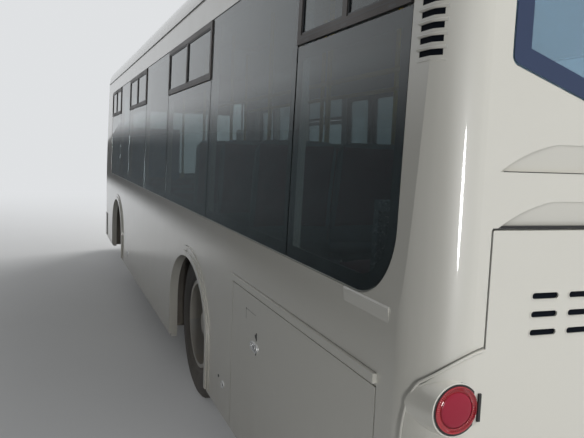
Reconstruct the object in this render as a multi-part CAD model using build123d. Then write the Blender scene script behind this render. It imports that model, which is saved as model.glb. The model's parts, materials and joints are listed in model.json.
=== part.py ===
from build123d import *
import os
from math import cos, radians, sin, tan

os.makedirs("parts", exist_ok=True)

# A two-axle low-entry city bus, in millimetres.
# X points forward, Y to the left, Z up. The origin is on the ground, under the middle of the bus.

# Overall sizes of the body
WHEELBASE = 4550.0
REAR_OVERHANG = 2870.0
FRONT_OVERHANG = 2080.0
WIDTH = 2500.0
HEIGHT = 2950.0
WALL = 45.0                 # whole thickness of side walls, roof and end masks
SKIRT_Z = 250.0             # lower edge of the side panels
WAIST_Z = 1277.0            # lower edge of the side glass, where the side starts to lean in
GLASS_TOP_Z = 2445.0
CANT_Z = 2565.0             # where the side turns into the roof cove
TUMBLEHOME = 30.0           # lean of the side between waist and cant rail
COVE_R = 300.0
CROWN_DROP = 85.0           # fall of the roof from its middle to its edge
GAP = 0.3                   # seat clearance between pieces that rest on each other
SHUT = 6.0                  # open joint round a lid or between a mask and its bumper

# Ends of the body, in plan and in side view
REAR_CORNER_R = 150.0
REAR_BOW = 40.0             # how far the rear face bulges between its corners
FRONT_CORNER_R = 330.0
FRONT_BOW = 120.0
FRONT_BREAK_Z = 1150.0      # the front rakes back above this height
FRONT_RAKE = 9.0            # degrees
FRONT_BROW_R = 330.0        # rounding of the roof's front edge
REAR_BROW_R = 200.0
PROFILE_SLACK = 4.0
REAR_MASK = 175.0           # depth of the moulded rear mask, in from the rear face
FRONT_MASK = 550.0          # depth of the moulded front mask
ROOF_SEAM_Z = 2500.0        # where the roof panel meets the side walls

# Glass
PANE = 8.0
PANE_SET = 2.0              # how far a pane lies in from the outer skin
BOND = 45.0                 # width of the flange that a pane is bonded to
JOINT = 12.0                # joint between two panes
BAND_R = 60.0               # corner radius of the glazing band
BAND_REAR_R = 220.0         # large radius of the band's lower rear corner
SLIDER_Z = 2100.0           # lower edge of the sliding top vents
SLIDER_BAR = 34.0           # width of a vent frame's bars
SLIDER_PROUD = 6.0

# Wheels and arches
WHEEL_R = 500.0
TYRE_W = 275.0
RIM_R = 285.75              # bead seat of a 22.5 inch rim
RIM_FLANGE = 13.0
RIM_W = 230.0
SHEET = 12.0                # thickness of rim and disc
FRONT_TYRE_INSET = 120.0    # outer side wall of the front tyre, in from the body side
REAR_TYRE_INSET = 60.0
TWIN_PITCH = 335.0          # middle of one rear tyre to the middle of its twin
ARCH_HALF = 570.0
ARCH_SPRING_Z = 560.0       # the arch is upright below this height and elliptical above
ARCH_TOP_Z = 968.0
TRIM_W = 68.0
TRIM_STEP_W = 36.0
TRIM_T = 8.0
TRIM_STEP_T = 17.0
TRIM_FOOT_Z = 272.0
HOUSE_HALF = 600.0          # wheel house, inside, to each side of the axle
HOUSE_IN = 520.0            # inner wall of the wheel house, from the middle of the bus
HOUSE_TOP_Z = 1060.0
HOUSE_T = 8.0
KINGPIN_INSET = 50.0        # kingpin, inboard of the middle of the front tyre
KINGPIN_R = 22.0
FIT = 0.05                  # running clearance of a shaft in its bore

# Floor and frame
FLOOR_Z = 370.0
FLOOR_T = 30.0
STEP_Z = 575.0
HIGH_Z = 780.0
ENGINE_DECK_Z = 1180.0
SHELF_Z = 1560.0
STEP_RUN = 300.0            # depth of the step up to the rear saloon
ENGINE_BAY = 1100.0         # length of the raised deck over the engine
SHELF_RUN = 420.0           # depth of the shelf behind the rear bench
PLATFORM_Z = 540.0          # driver's platform
RAIL_Y = 430.0
RAIL_W = 70.0
RAIL_H = 90.0
CROSS_W = 60.0

# Doors, all in the right-hand side
DOOR_TOP_Z = 2390.0
DOOR_T = 36.0
DOOR_SET = 4.0
DOOR_SEAL = 16.0            # rubber-filled gap at each upright edge of a leaf
DOOR_POST = 60.0            # pivot, in from the leaf's hinge edge
DOOR_LIFT = 12.0            # leaf above the floor
DOOR_FRAME = 80.0           # leaf edge to its glass
FRONT_DOOR_W = 750.0
MID_DOOR_W = 1250.0
MID_DOOR_X = 175.0          # middle of the twin doorway

# Rear face
LID_TOP_Z = 1520.0
LID_FOOT_Z = 526.0
LID_HALF = 1075.0
LID_R = 3.0
REBATE = 33.0               # depth that a lid sits in
SLOT_W = 85.0
SLOT_H = 17.0
SLOT_PITCH_Y = 121.0
SLOT_PITCH_Z = 50.0
SLOT_TOP_Z = 1338.0
SLOT_OUTER_Y = 892.0
SLOT_COLUMNS = 5
SLOT_ROWS = 3
BROW_ZS = (LID_TOP_Z - 4.0, 1665.0)  # flat lower lines of the two gull-wing recesses
BROW_H = 74.0
BROW_HALF = 1062.0
BROW_RISE = 174.0
BROW_LEAN = 12.0            # degrees that a recess falls in towards its lower line
BROW_STEP = 6.0             # pivot of that lean, above the recess's top line
VENT_XS = (86.0, 168.0)     # ends of the slots, from the rearmost point
VENT_Z = 1949.0
VENT_PITCH = 33.0
VENT_H = 16.0
VENT_COUNT = 9
LAMP_R = 64.0
LAMP_Y = 1153.0
LAMP_ZS = (1049.0, 892.0, 735.0)
LAMP_SET = 18.0             # face of a lamp, in from the rearmost point of the body
LAMP_DEPTH = 40.0
COLLAR_W = 9.0
COLLAR_FLARE = 24.0         # growth of a lamp's collar to its root
COLLAR_L = 95.0
POD_PROUD = 10.0
POD_TOP_Z = 1205.0
POD_WRAP = 130.0            # how far a pod wraps round the corner, from the rearmost point
POD_ARCH = (1153.0, 1171.0)     # place and height on the pod's falling upper edge, seen from the end
POD_SHOULDER = (1219.0, 1110.0)  # where that edge turns down the side
POD_SHOULDER_X = 90.0
POD_TURN = (115.0, 1053.0)  # point on the turn, seen from the side
POD_FALL_Z = 960.0          # upright below this height
BUMPER_TOP_Z = LID_FOOT_Z - SHUT
BUMPER_FOOT_Z = 280.0
FRONT_BUMPER_TOP_Z = 620.0

# Side hatch on the left, behind the rear wheel, measured back from the rear axle
HATCH_FRONT = 1090.0
HATCH_REAR = 2600.0
HATCH_TOP_Z = 1032.0
LEDGE_T = 14.0
LEDGE_H = 30.0

# Crease behind the last side window, measured back from the rear axle
CREASE_END = 2650.0
CREASE_RUN = 285.0
CREASE_H = 46.0
CREASE_PROUD = 5.0

DOOR_PIN_R = 8.0
DOOR_PIN_IN = 20.0          # how far a door pin reaches into the floor and the header

# Values worked out from the driving sizes
HALF = WIDTH / 2
LENGTH = REAR_OVERHANG + WHEELBASE + FRONT_OVERHANG
X_REAR = -LENGTH / 2
X_FRONT = LENGTH / 2
X_RA = X_REAR + REAR_OVERHANG
X_FA = X_RA + WHEELBASE
X_REAR_SEAM = X_REAR + REAR_MASK
X_FRONT_SEAM = X_FRONT - FRONT_MASK
FRONT_TYRE_Y = HALF - FRONT_TYRE_INSET - TYRE_W / 2
REAR_TYRE_Y = HALF - REAR_TYRE_INSET - TYRE_W / 2
KINGPIN_Y = FRONT_TYRE_Y - KINGPIN_INSET
STEP_X = X_RA + HOUSE_HALF + HOUSE_T + 10.0
HIGH_X = STEP_X - STEP_RUN
ENGINE_X = X_REAR + ENGINE_BAY
SHELF_X = X_REAR + SHELF_RUN
PANE_IN = PANE_SET + PANE
FRONT_DOOR_X0 = X_FA + HOUSE_HALF + 62.0
LOW_RAIL_Z = FLOOR_Z - FLOOR_T - RAIL_H
HIGH_RAIL_Z = HIGH_Z - FLOOR_T - RAIL_H
FAR = 400.0                 # reach of cutting solids past the body


def save(name, shape):
    solids = shape.solids()
    body = solids[0] if len(solids) == 1 else Compound(children=list(solids))
    export_step(body, os.path.join("parts", name + ".step"))


def block(x0, x1, y0, y1, z0, z1):
    centre = Pos((x0 + x1) / 2, (y0 + y1) / 2, (z0 + z1) / 2)
    return centre * Box(x1 - x0, y1 - y0, z1 - z0)


def side_prism(outline, y0, y1):
    """Carry an outline drawn in X and Z from y0 to y1."""
    return Pos(0, y1, 0) * extrude(Plane.XZ * outline, y1 - y0)


def end_prism(outline, x0, x1):
    """Carry an outline drawn in Y and Z from x0 to x1."""
    return Pos(x0, 0, 0) * extrude(Plane.YZ * outline, x1 - x0)


def mirrored(shape):
    return mirror(shape, about=Plane.XZ)


def polygon(*points):
    return make_face(Polyline(*points, close=True))


def round_corner(face, point, radius):
    corner = face.vertices().sort_by_distance(Vector(*point, 0))[0]
    return fillet(corner, radius)


def rounded(x0, x1, z0, z1, radius):
    centre = Pos((x0 + x1) / 2, (z0 + z1) / 2)
    return centre * RectangleRounded(x1 - x0, z1 - z0, radius)


def rod(start, end, radius):
    path = Vector(*end) - Vector(*start)
    return extrude(Plane(origin=start, z_dir=path) * Circle(radius), path.length)


# The body's outer form: a plan outline carried up, raked at both ends,
# and cut by the cross-section and by the profile that rounds the roof's ends.

def plan_outline():
    rear = X_REAR + REAR_BOW
    front = X_FRONT - FRONT_BOW
    edge = [
        ThreePointArc((rear, -HALF), (X_REAR, 0), (rear, HALF)),
        Line((rear, HALF), (front, HALF)),
        ThreePointArc((front, HALF), (X_FRONT, 0), (front, -HALF)),
        Line((front, -HALF), (rear, -HALF)),
    ]
    face = make_face(edge)
    for sign in (-1, 1):
        face = round_corner(face, (rear, sign * HALF), REAR_CORNER_R)
        face = round_corner(face, (front, sign * HALF), FRONT_CORNER_R)
    return face


def cross_section():
    top = HEIGHT - CROWN_DROP
    lean = TUMBLEHOME * (top - WAIST_Z) / (CANT_Z - WAIST_Z)
    shoulder = HALF - lean
    edge = [
        Line((-HALF, -FAR), (HALF, -FAR)),
        Line((HALF, -FAR), (HALF, WAIST_Z)),
        Line((HALF, WAIST_Z), (shoulder, top)),
        ThreePointArc((shoulder, top), (0, HEIGHT), (-shoulder, top)),
        Line((-shoulder, top), (-HALF, WAIST_Z)),
        Line((-HALF, WAIST_Z), (-HALF, -FAR)),
    ]
    face = make_face(edge)
    for sign in (-1, 1):
        face = round_corner(face, (sign * shoulder, top), COVE_R)
    return face


def end_profile():
    """Side view of the body; it stands a little proud, so that only its two rounded corners cut."""
    top = HEIGHT + PROFILE_SLACK
    front = X_FRONT + PROFILE_SLACK
    rear = X_REAR - PROFILE_SLACK
    front_top = front - tan(radians(FRONT_RAKE)) * (top - FRONT_BREAK_Z)
    face = polygon((rear, -2 * FAR), (front, -2 * FAR), (front, FRONT_BREAK_Z), (front_top, top), (rear, top))
    face = round_corner(face, (front_top, top), FRONT_BROW_R)
    return round_corner(face, (rear, top), REAR_BROW_R)


def grown(face, inset):
    if inset == 0:
        return face
    return offset(face, amount=-inset, kind=Kind.INTERSECTION)


envelopes = {}


def envelope(inset):
    """The body as one solid, with every surface moved inwards by the inset."""
    if inset in envelopes:
        return envelopes[inset]
    plan = grown(plan_outline(), inset)
    form = Pos(0, 0, -FAR) * extrude(plan, HEIGHT + 2 * FAR)
    tail = Pos(X_REAR, 0) * Rectangle(LENGTH, WIDTH - 2 * inset)
    drop = FRONT_BREAK_Z + 2 * FAR
    slope = tan(radians(FRONT_RAKE))
    raked = Pos(slope * drop, 0, -2 * FAR) * extrude(plan + tail, (HEIGHT + 3 * FAR) / cos(radians(FRONT_RAKE)),
                                                     dir=(-slope, 0, 1))
    form = form & raked
    span = LENGTH / 2 + FAR
    form = form & end_prism(grown(cross_section(), inset), -span, span)
    form = form & side_prism(grown(end_profile(), inset), -WIDTH, WIDTH)
    envelopes[inset] = form
    return form


def skin(outer, inner):
    return envelope(outer) - envelope(inner)


shell = skin(0, WALL)
inside = envelope(WALL + GAP)


# Wheel arches

def arch_outline(x, grow):
    half = ARCH_HALF + grow
    rise = ARCH_TOP_Z + grow - ARCH_SPRING_Z
    foot = -FAR
    edge = [
        Line((x - half, foot), (x + half, foot)),
        Line((x + half, foot), (x + half, ARCH_SPRING_Z)),
        EllipticalCenterArc((x, ARCH_SPRING_Z), half, rise, start_angle=0, arc_size=180),
        Line((x - half, ARCH_SPRING_Z), (x - half, foot)),
    ]
    return make_face(edge)


def arch_trim(x):
    """The two-step moulding round one arch, split at its top."""
    ring = arch_outline(x, TRIM_W) - arch_outline(x, 0)
    step = arch_outline(x, TRIM_STEP_W) - arch_outline(x, 0)
    trim = side_prism(ring, HALF, HALF + TRIM_T) + side_prism(step, HALF, HALF + TRIM_STEP_T)
    split = block(x - SHUT, x + SHUT, HALF - FAR, HALF + FAR, ARCH_SPRING_Z, HEIGHT)
    foot = block(x - FAR * 2, x + FAR * 2, HALF - FAR, HALF + FAR, -2 * FAR, TRIM_FOOT_Z)
    return trim - split - foot


trims = arch_trim(X_RA) + arch_trim(X_FA)
save("arch_trims", trims + mirrored(trims))
arches = side_prism(arch_outline(X_RA, 0), HALF - FAR, HALF + FAR)
arches = arches + side_prism(arch_outline(X_FA, 0), HALF - FAR, HALF + FAR)


# Side glazing. Each band is one rebate, divided into panes.
# Columns: rear edge, front edge of the pane, and whether its top slides. Places are from the rear axle.
LEFT_PANES = (
    (-2660.0, -1830.0, True),
    (-1830.0, -450.0, False),
    (-450.0, 950.0, True),
    (950.0, 2150.0, False),
    (2150.0, 3450.0, True),
    (3450.0, 4380.0, False),
    (4380.0, 5500.0, True),
)
RIGHT_REAR_PANES = (
    (-2660.0, -1830.0, True),
    (-1830.0, -450.0, False),
    (-450.0, 600.0, True),
    (600.0, 1350.0, False),
)
RIGHT_FRONT_PANES = (
    (2760.0, 3950.0, True),
    (3950.0, 5130.0, False),
)


def band_outline(panes, shrink):
    x0 = X_RA + panes[0][0]
    x1 = X_RA + panes[-1][1]
    face = polygon((x0, WAIST_Z), (x1, WAIST_Z), (x1, GLASS_TOP_Z), (x0, GLASS_TOP_Z))
    rear_radius = BAND_REAR_R if panes[0][0] == LEFT_PANES[0][0] else BAND_R
    face = round_corner(face, (x0, WAIST_Z), rear_radius)
    for point in ((x1, WAIST_Z), (x1, GLASS_TOP_Z), (x0, GLASS_TOP_Z)):
        face = round_corner(face, point, BAND_R)
    return grown(face, shrink)


def glaze(panes):
    """Cutting solids, fixed glass and vent frames of one band, on the left-hand side."""
    y0 = HALF - FAR
    y1 = HALF + FAR
    rebate = side_prism(band_outline(panes, 0), y0, y1) - envelope(PANE_IN + GAP)
    through = side_prism(band_outline(panes, BOND), y0, y1)
    panel = side_prism(band_outline(panes, JOINT / 2), y0, y1)
    sheet = skin(PANE_SET, PANE_IN) & panel
    openings = None
    glass = None
    frames = None
    for rear, front, slides in panes:
        x0 = X_RA + rear
        x1 = X_RA + front
        hole = through & block(x0 + BOND, x1 - BOND, y0, y1, 0, HEIGHT)
        openings = hole if openings is None else openings + hole
        g0 = x0 + JOINT / 2
        g1 = x1 - JOINT / 2
        top = SLIDER_Z - JOINT / 2 if slides else HEIGHT
        pane = sheet & block(g0, g1, y0, y1, 0, top)
        if slides:
            outer = panel & block(g0, g1, y0, y1, SLIDER_Z, HEIGHT)
            middle = (g0 + g1) / 2
            frame = skin(-SLIDER_PROUD, PANE_IN) & outer
            sash = skin(PANE_SET, PANE_SET + PANE / 2)
            for s0, s1 in ((g0 + SLIDER_BAR, middle - SLIDER_BAR / 2), (middle + SLIDER_BAR / 2, g1 - SLIDER_BAR)):
                z0 = SLIDER_Z + SLIDER_BAR
                z1 = GLASS_TOP_Z - JOINT / 2 - SLIDER_BAR
                frame = frame - block(s0, s1, y0, y1, z0, z1)
                pane = pane + (sash & block(s0 + GAP, s1 - GAP, y0, y1, z0 + GAP, z1 - GAP))
            frames = frame if frames is None else frames + frame
        glass = pane if glass is None else glass + pane
    return rebate, openings, glass, frames


left_rebate, left_openings, left_glass, left_frames = glaze(LEFT_PANES)
rear_rebate, rear_openings, rear_glass, rear_frames = glaze(RIGHT_REAR_PANES)
fore_rebate, fore_openings, fore_glass, fore_frames = glaze(RIGHT_FRONT_PANES)
save("side_glass", left_glass + mirrored(rear_glass) + mirrored(fore_glass))
save("vent_frames", left_frames + mirrored(rear_frames) + mirrored(fore_frames))

# Side walls
X0 = X_REAR_SEAM
X1 = X_FRONT_SEAM
left_wall = shell & block(X0, X1, HALF - 2 * WALL, HALF + WALL, SKIRT_Z, ROOF_SEAM_Z)
left_wall = left_wall - left_rebate - left_openings - arches

hatch_x0 = X_RA - HATCH_REAR
hatch_x1 = X_RA - HATCH_FRONT
hatch_zone = block(hatch_x0, hatch_x1, HALF - FAR, HALF + FAR, 0, HATCH_TOP_Z)
hatch_through = block(hatch_x0 + BOND, hatch_x1 - BOND, HALF - FAR, HALF + FAR, 0, HIGH_Z - FLOOR_T)
left_wall = left_wall - (hatch_zone - envelope(REBATE)) - hatch_through

ledge_z = HATCH_TOP_Z + 8.0
ledge = block(hatch_x0, hatch_x1, HALF, HALF + LEDGE_T, ledge_z, ledge_z + LEDGE_H)
ledge_tops = ledge.edges().filter_by(Axis.X).group_by(Axis.Y)[-1]
ledge = chamfer(ledge_tops.sort_by(Axis.Z)[-1], LEDGE_T - 2.0)
left_wall = left_wall + ledge


def waist_crease():
    """A wedge that stands out along the waist line and fades into the panel below it."""
    x0 = X_RA - CREASE_END
    x1 = x0 + CREASE_RUN
    wedge = polygon((HALF, WAIST_Z - CREASE_H), (HALF + CREASE_PROUD, WAIST_Z - CREASE_PROUD), (HALF, WAIST_Z))
    return end_prism(wedge, x0, x1)


left_wall = left_wall + waist_crease()
hatch_top = HATCH_TOP_Z - SHUT
hatch = skin(0, REBATE - GAP) & block(hatch_x0 + SHUT, hatch_x1 - SHUT, HALF - FAR, HALF + FAR,
                                      SKIRT_Z, hatch_top)
save("side_wall_left", left_wall)
save("side_hatch", hatch)

right_wall = shell & block(X0, X1, HALF - 2 * WALL, HALF + WALL, SKIRT_Z, ROOF_SEAM_Z)
right_wall = right_wall - rear_rebate - rear_openings - fore_rebate - fore_openings - arches
right_wall = right_wall + waist_crease()

# Doorways, drawn on the left like everything else and mirrored. Columns: rear edge, width, leaves.
DOORWAYS = (
    ("front_door", FRONT_DOOR_X0, FRONT_DOOR_W, 1),
    ("mid_door", MID_DOOR_X - MID_DOOR_W / 2, MID_DOOR_W, 2),
)
sill_z = FLOOR_Z - FLOOR_T
door_z0 = FLOOR_Z + DOOR_LIFT
door_z1 = DOOR_TOP_Z - DOOR_SEAL
door_pin_y = HALF - DOOR_SET - DOOR_T


def leaf_edges(x0, width, leaves):
    """Rear edge, front edge and pin of each leaf; a second leaf turns on its front edge."""
    leaf_w = (width - DOOR_SEAL * (leaves + 1)) / leaves
    edges = []
    for i in range(leaves):
        a = x0 + DOOR_SEAL + i * (leaf_w + DOOR_SEAL)
        edges.append((a, a + leaf_w, a + leaf_w - DOOR_POST if i else a + DOOR_POST))
    return edges


door_pins = []
for name, x0, width, leaves in DOORWAYS:
    right_wall = right_wall - block(x0, x0 + width, HALF - FAR, HALF + FAR, sill_z, DOOR_TOP_Z)
    door_pins += [pin for a, b, pin in leaf_edges(x0, width, leaves)]
for pin in door_pins:
    foot = (pin, door_pin_y, door_z1)
    head = (pin, door_pin_y, DOOR_TOP_Z + DOOR_PIN_IN + GAP)
    right_wall = right_wall - rod(foot, head, DOOR_PIN_R + FIT)
save("side_wall_right", mirrored(right_wall))

for name, x0, width, leaves in DOORWAYS:
    for i, (a, b, pin) in enumerate(leaf_edges(x0, width, leaves)):
        low = door_z0 + 2 * DOOR_FRAME
        high = door_z1 - DOOR_FRAME
        side = rounded(a, b, door_z0, door_z1, 30)
        light = rounded(a + DOOR_FRAME, b - DOOR_FRAME, low, high, 45)
        seat = grown(light, -15)
        leaf = skin(DOOR_SET, DOOR_SET + DOOR_T) & side_prism(side, HALF - FAR, HALF + FAR)
        leaf = leaf - side_prism(light, HALF - FAR, HALF + FAR)
        sunk = DOOR_SET + PANE / 2
        leaf = leaf - (side_prism(seat, HALF - FAR, HALF + FAR) - envelope(sunk + PANE + GAP))
        for z0, z1 in ((FLOOR_Z - DOOR_PIN_IN, door_z0), (door_z1, DOOR_TOP_Z + DOOR_PIN_IN)):
            ends = (z0 if z0 < door_z0 else z0 - DOOR_PIN_IN, z1 if z1 > door_z1 else z1 + DOOR_PIN_IN)
            leaf = leaf + rod((pin, door_pin_y, ends[0]), (pin, door_pin_y, ends[1]), DOOR_PIN_R)
        glass = skin(sunk, sunk + PANE) & side_prism(grown(seat, 2.0), HALF - FAR, HALF + FAR)
        suffix = "" if leaves == 1 else ("_rear", "_fore")[i]
        save(name + suffix, mirrored(leaf))
        save(name + suffix + "_glass", mirrored(glass))

# Roof with its rain gutters and two hatch frames
HATCH_SIZE = 620.0
KERB = 20.0
KERB_TOP_Z = HEIGHT + 16.0
COVER_T = 34.0
COVER_LIP = 16.0
ROOF_HATCH_XS = (-2350.0, 1250.0)
CROWN_HALF = 620.0          # half the width of the panels along the middle of the roof
HATCH_PANEL = 460.0         # half the length of the panel that carries a hatch
roof_shell = shell & block(X0, X1, -HALF - WALL, HALF + WALL, ROOF_SEAM_Z, HEIGHT + WALL)
gutter = skin(-9.0, 0) & block(X0, X1, 0, HALF + WALL, CANT_Z + 40.0, CANT_Z + 58.0)
cove = (roof_shell & block(X0, X1, CROWN_HALF + GAP, HALF + WALL, 0, HEIGHT + WALL)) + gutter
roof_panels = [cove, mirrored(cove)]
crown = roof_shell & block(X0, X1, -CROWN_HALF, CROWN_HALF, 0, HEIGHT + WALL)
plain_x0 = X0
for i, x in enumerate(ROOF_HATCH_XS):
    h = HATCH_SIZE / 2
    kerb = block(x - h - KERB, x + h + KERB, -h - KERB, h + KERB, HEIGHT - 2 * WALL, KERB_TOP_Z)
    kerb = kerb - inside
    hole = block(x - h, x + h, -h, h, HEIGHT - FAR, HEIGHT + FAR)
    carrier = crown & block(x - HATCH_PANEL, x + HATCH_PANEL, -HALF, HALF, 0, HEIGHT + WALL)
    roof_panels.append(carrier + kerb - hole)
    roof_panels.append(crown & block(plain_x0, x - HATCH_PANEL - GAP, -HALF, HALF, 0, HEIGHT + WALL))
    plain_x0 = x + HATCH_PANEL + GAP
    lip = h + KERB + COVER_LIP
    cover = block(x - lip, x + lip, -lip, lip, KERB_TOP_Z + GAP, KERB_TOP_Z + GAP + COVER_T)
    cover = fillet(cover.edges().filter_by(Axis.Z), 60)
    cover = chamfer(cover.faces().sort_by(Axis.Z)[-1].edges(), 12)
    save("roof_hatch_" + ("rear", "front")[i], cover)
roof_panels.append(crown & block(plain_x0, X1, -HALF, HALF, 0, HEIGHT + WALL))
save("roof", Compound(children=[panel.solids()[0] for panel in roof_panels]))

# Rear mask, lid, bumper and lamps

def brow_outline(z):
    """A flat lower line whose ends rise in shallow arcs to a level top."""
    inner = BROW_HALF - BROW_RISE
    edge = [
        Line((-BROW_HALF, z), (BROW_HALF, z)),
        ThreePointArc((BROW_HALF, z), (BROW_HALF - 0.45 * BROW_RISE, z + 0.62 * BROW_H), (inner, z + BROW_H)),
        Line((inner, z + BROW_H), (-inner, z + BROW_H)),
        ThreePointArc((-inner, z + BROW_H), (-BROW_HALF + 0.45 * BROW_RISE, z + 0.62 * BROW_H), (-BROW_HALF, z)),
    ]
    return make_face(edge)


# Sill of the rear window: distance from the middle, height, corner radius.
SILL = ((1050.0, 1936.0, 30.0), (800.0, 1849.0, 500.0), (540.0, 1800.0, 600.0))
REAR_GLASS_TOP_Z = 2500.0


def rear_window_outline():
    """Upright sides, high lower corners and a sill that dips to the middle."""
    outer = SILL[0][0]
    right = [(y, z) for y, z, radius in SILL]
    left = [(-y, z) for y, z, radius in reversed(SILL)]
    face = polygon((outer, REAR_GLASS_TOP_Z), *right, *left, (-outer, REAR_GLASS_TOP_Z))
    for sign in (-1, 1):
        face = round_corner(face, (sign * outer, REAR_GLASS_TOP_Z), 90)
        for y, z, radius in SILL:
            face = round_corner(face, (sign * y, z), radius)
    return face


rear_zone = (X_REAR - FAR, X_REAR + FAR)
lid_outline = rounded(-LID_HALF, LID_HALF, LID_FOOT_Z - 6.0, LID_TOP_Z, SHUT + LID_R)
lid_hole = end_prism(lid_outline, *rear_zone)
rear_wall = shell & block(X_REAR - WALL, X0, -HALF - WALL, HALF + WALL, SKIRT_Z, HEIGHT + WALL)
rear_wall = rear_wall - (lid_hole - envelope(REBATE)) - end_prism(grown(lid_outline, BOND), *rear_zone)
for z in BROW_ZS:
    pivot = z + BROW_H + BROW_STEP
    lean = Pos(X_REAR, 0, pivot) * Rot(0, -BROW_LEAN, 0) * Pos(-X_REAR, 0, -pivot)
    sunk = end_prism(brow_outline(z), X_REAR - FAR, X_REAR + WALL)
    rear_wall = rear_wall - (sunk - lean * envelope(0))
rear_seat = end_prism(rear_window_outline(), *rear_zone)
rear_wall = rear_wall - (rear_seat - envelope(PANE_IN + GAP))
rear_wall = rear_wall - end_prism(grown(rear_window_outline(), BOND), *rear_zone)
for i in range(VENT_COUNT):
    z = VENT_Z + i * VENT_PITCH
    slot = block(X_REAR + VENT_XS[0], X_REAR + VENT_XS[1], HALF - REAR_CORNER_R, HALF + WALL, z, z + VENT_H)
    rear_wall = rear_wall - slot - mirrored(slot)



def pod_end_outline():
    """Seen from the end: the upper edge falls in an arc from the lid to the shoulder and on outwards."""
    reach = POD_SHOULDER[0] + FAR
    edge = [
        Line((LID_HALF, 0), (reach, 0)),
        Line((reach, 0), (reach, POD_SHOULDER[1] - FAR)),
        Line((reach, POD_SHOULDER[1] - FAR), POD_SHOULDER),
        ThreePointArc(POD_SHOULDER, POD_ARCH, (LID_HALF, POD_TOP_Z)),
        Line((LID_HALF, POD_TOP_Z), (LID_HALF, 0)),
    ]
    return make_face(edge)


def pod_side_outline():
    """Seen from the side: upright, then an arc up and back to the shoulder."""
    shoulder = (X_REAR + POD_SHOULDER_X, POD_SHOULDER[1])
    turn = (X_REAR + POD_TURN[0], POD_TURN[1])
    fall = (X_REAR + POD_WRAP, POD_FALL_Z)
    rear = X_REAR - FAR
    edge = [
        Line((rear, -FAR), (fall[0], -FAR)),
        Line((fall[0], -FAR), fall),
        ThreePointArc(fall, turn, shoulder),
        Line(shoulder, (shoulder[0], HEIGHT)),
        Line((shoulder[0], HEIGHT), (rear, HEIGHT)),
        Line((rear, HEIGHT), (rear, -FAR)),
    ]
    return make_face(edge)


beam_face = polygon((-HALF, 0), (HALF, 0), (HALF, BUMPER_TOP_Z), (-HALF, BUMPER_TOP_Z))
pods = end_prism(pod_end_outline(), *rear_zone)
pods = pods + mirrored(pods) + end_prism(beam_face, *rear_zone)
pod_zone = pods & side_prism(pod_side_outline(), -WIDTH, WIDTH)
foot = block(X_REAR - FAR, X_FRONT + FAR, -WIDTH, WIDTH, -2 * FAR, BUMPER_FOOT_Z)
lid_ring = lid_hole - end_prism(grown(lid_outline, BOND), *rear_zone)
below_pods = block(X_REAR - FAR, X_REAR + FAR, -LID_HALF, LID_HALF, 0, POD_TOP_Z)
rear_bumper = skin(-POD_PROUD, WALL) & pod_zone
lamp_x = X_REAR + LAMP_SET
lamps = None
for z in LAMP_ZS:
    for y in (-LAMP_Y, LAMP_Y):
        rim_r = LAMP_R + COLLAR_W
        collar = Pos(lamp_x + 4 + COLLAR_L / 2, y, z) * Rot(0, 90, 0) * Cone(rim_r, rim_r + COLLAR_FLARE, COLLAR_L)
        rear_bumper = rear_bumper + ((collar & pod_zone) - envelope(WALL))
        rear_bumper = rear_bumper - rod((lamp_x - FAR, y, z), (lamp_x + LAMP_DEPTH + GAP, y, z), LAMP_R + GAP)
        lens = rod((lamp_x, y, z), (lamp_x + LAMP_DEPTH, y, z), LAMP_R)
        lens = fillet(lens.edges().group_by(Axis.X)[0], 10)
        lamps = lens if lamps is None else lamps + lens
rear_bumper = rear_bumper + (skin(REBATE, WALL) & lid_ring & below_pods) - foot
save("rear_bumper", rear_bumper)
save("tail_lamps", lamps)
rear_wall = rear_wall - (Pos(4, 0, 4) * pod_zone) - below_pods

lid = skin(0, REBATE - GAP) & end_prism(grown(lid_outline, SHUT), *rear_zone)
for row in range(SLOT_ROWS):
    for column in range(SLOT_COLUMNS):
        y = SLOT_OUTER_Y - column * SLOT_PITCH_Y
        z = SLOT_TOP_Z - row * SLOT_PITCH_Z
        for sign in (-1, 1):
            pill = Pos(sign * y, z) * SlotOverall(SLOT_W, SLOT_H)
            lid = lid - end_prism(pill, *rear_zone)
save("engine_lid", lid)
save("rear_wall", rear_wall)
save("rear_window", skin(PANE_SET, PANE_IN) & end_prism(grown(rear_window_outline(), 5), *rear_zone))

# Front mask, windscreen, bumper and lamps
INTAKES = 3
INTAKE_W = 1300.0
INTAKE_H = 26.0
INTAKE_Z = 372.0
INTAKE_PITCH = 52.0
SCREEN_HALF = 1135.0
SCREEN_Z0 = 1175.0
SCREEN_Z1 = 2535.0
front_zone = (X_FRONT_SEAM + 60.0, X_FRONT + FAR)
screen = rounded(-SCREEN_HALF, SCREEN_HALF, SCREEN_Z0, SCREEN_Z1, 120)
front_wall = shell & block(X1, X_FRONT + WALL, -HALF - WALL, HALF + WALL, FRONT_BUMPER_TOP_Z + 4, HEIGHT + WALL)
front_wall = front_wall - (end_prism(screen, *front_zone) - envelope(PANE_IN + GAP))
front_wall = front_wall - end_prism(grown(screen, BOND), *front_zone)
headlamps = None
HEADLAMP = (780.0, 1105.0, 690.0, 880.0, 60.0)
LAMP_BOWL = WALL - 8.0      # depth of the bowl behind a headlamp's cover
COVER = 5.0
y0, y1, z0, z1, r = HEADLAMP
bowl = end_prism(rounded(y0, y1, z0, z1, r), *front_zone) - envelope(LAMP_BOWL)
lens = skin(PANE_SET, PANE_SET + COVER) & end_prism(grown(rounded(y0, y1, z0, z1, r), GAP), *front_zone)
front_wall = front_wall - bowl - mirrored(bowl)
save("headlamps", lens + mirrored(lens))
save("front_wall", front_wall)
save("windscreen", skin(PANE_SET, PANE_IN) & end_prism(grown(screen, 5), *front_zone))
front_bumper = skin(-POD_PROUD, WALL) & block(X1 + 4, X_FRONT + WALL, -HALF - WALL, HALF + WALL,
                                              BUMPER_FOOT_Z, FRONT_BUMPER_TOP_Z)
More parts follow.
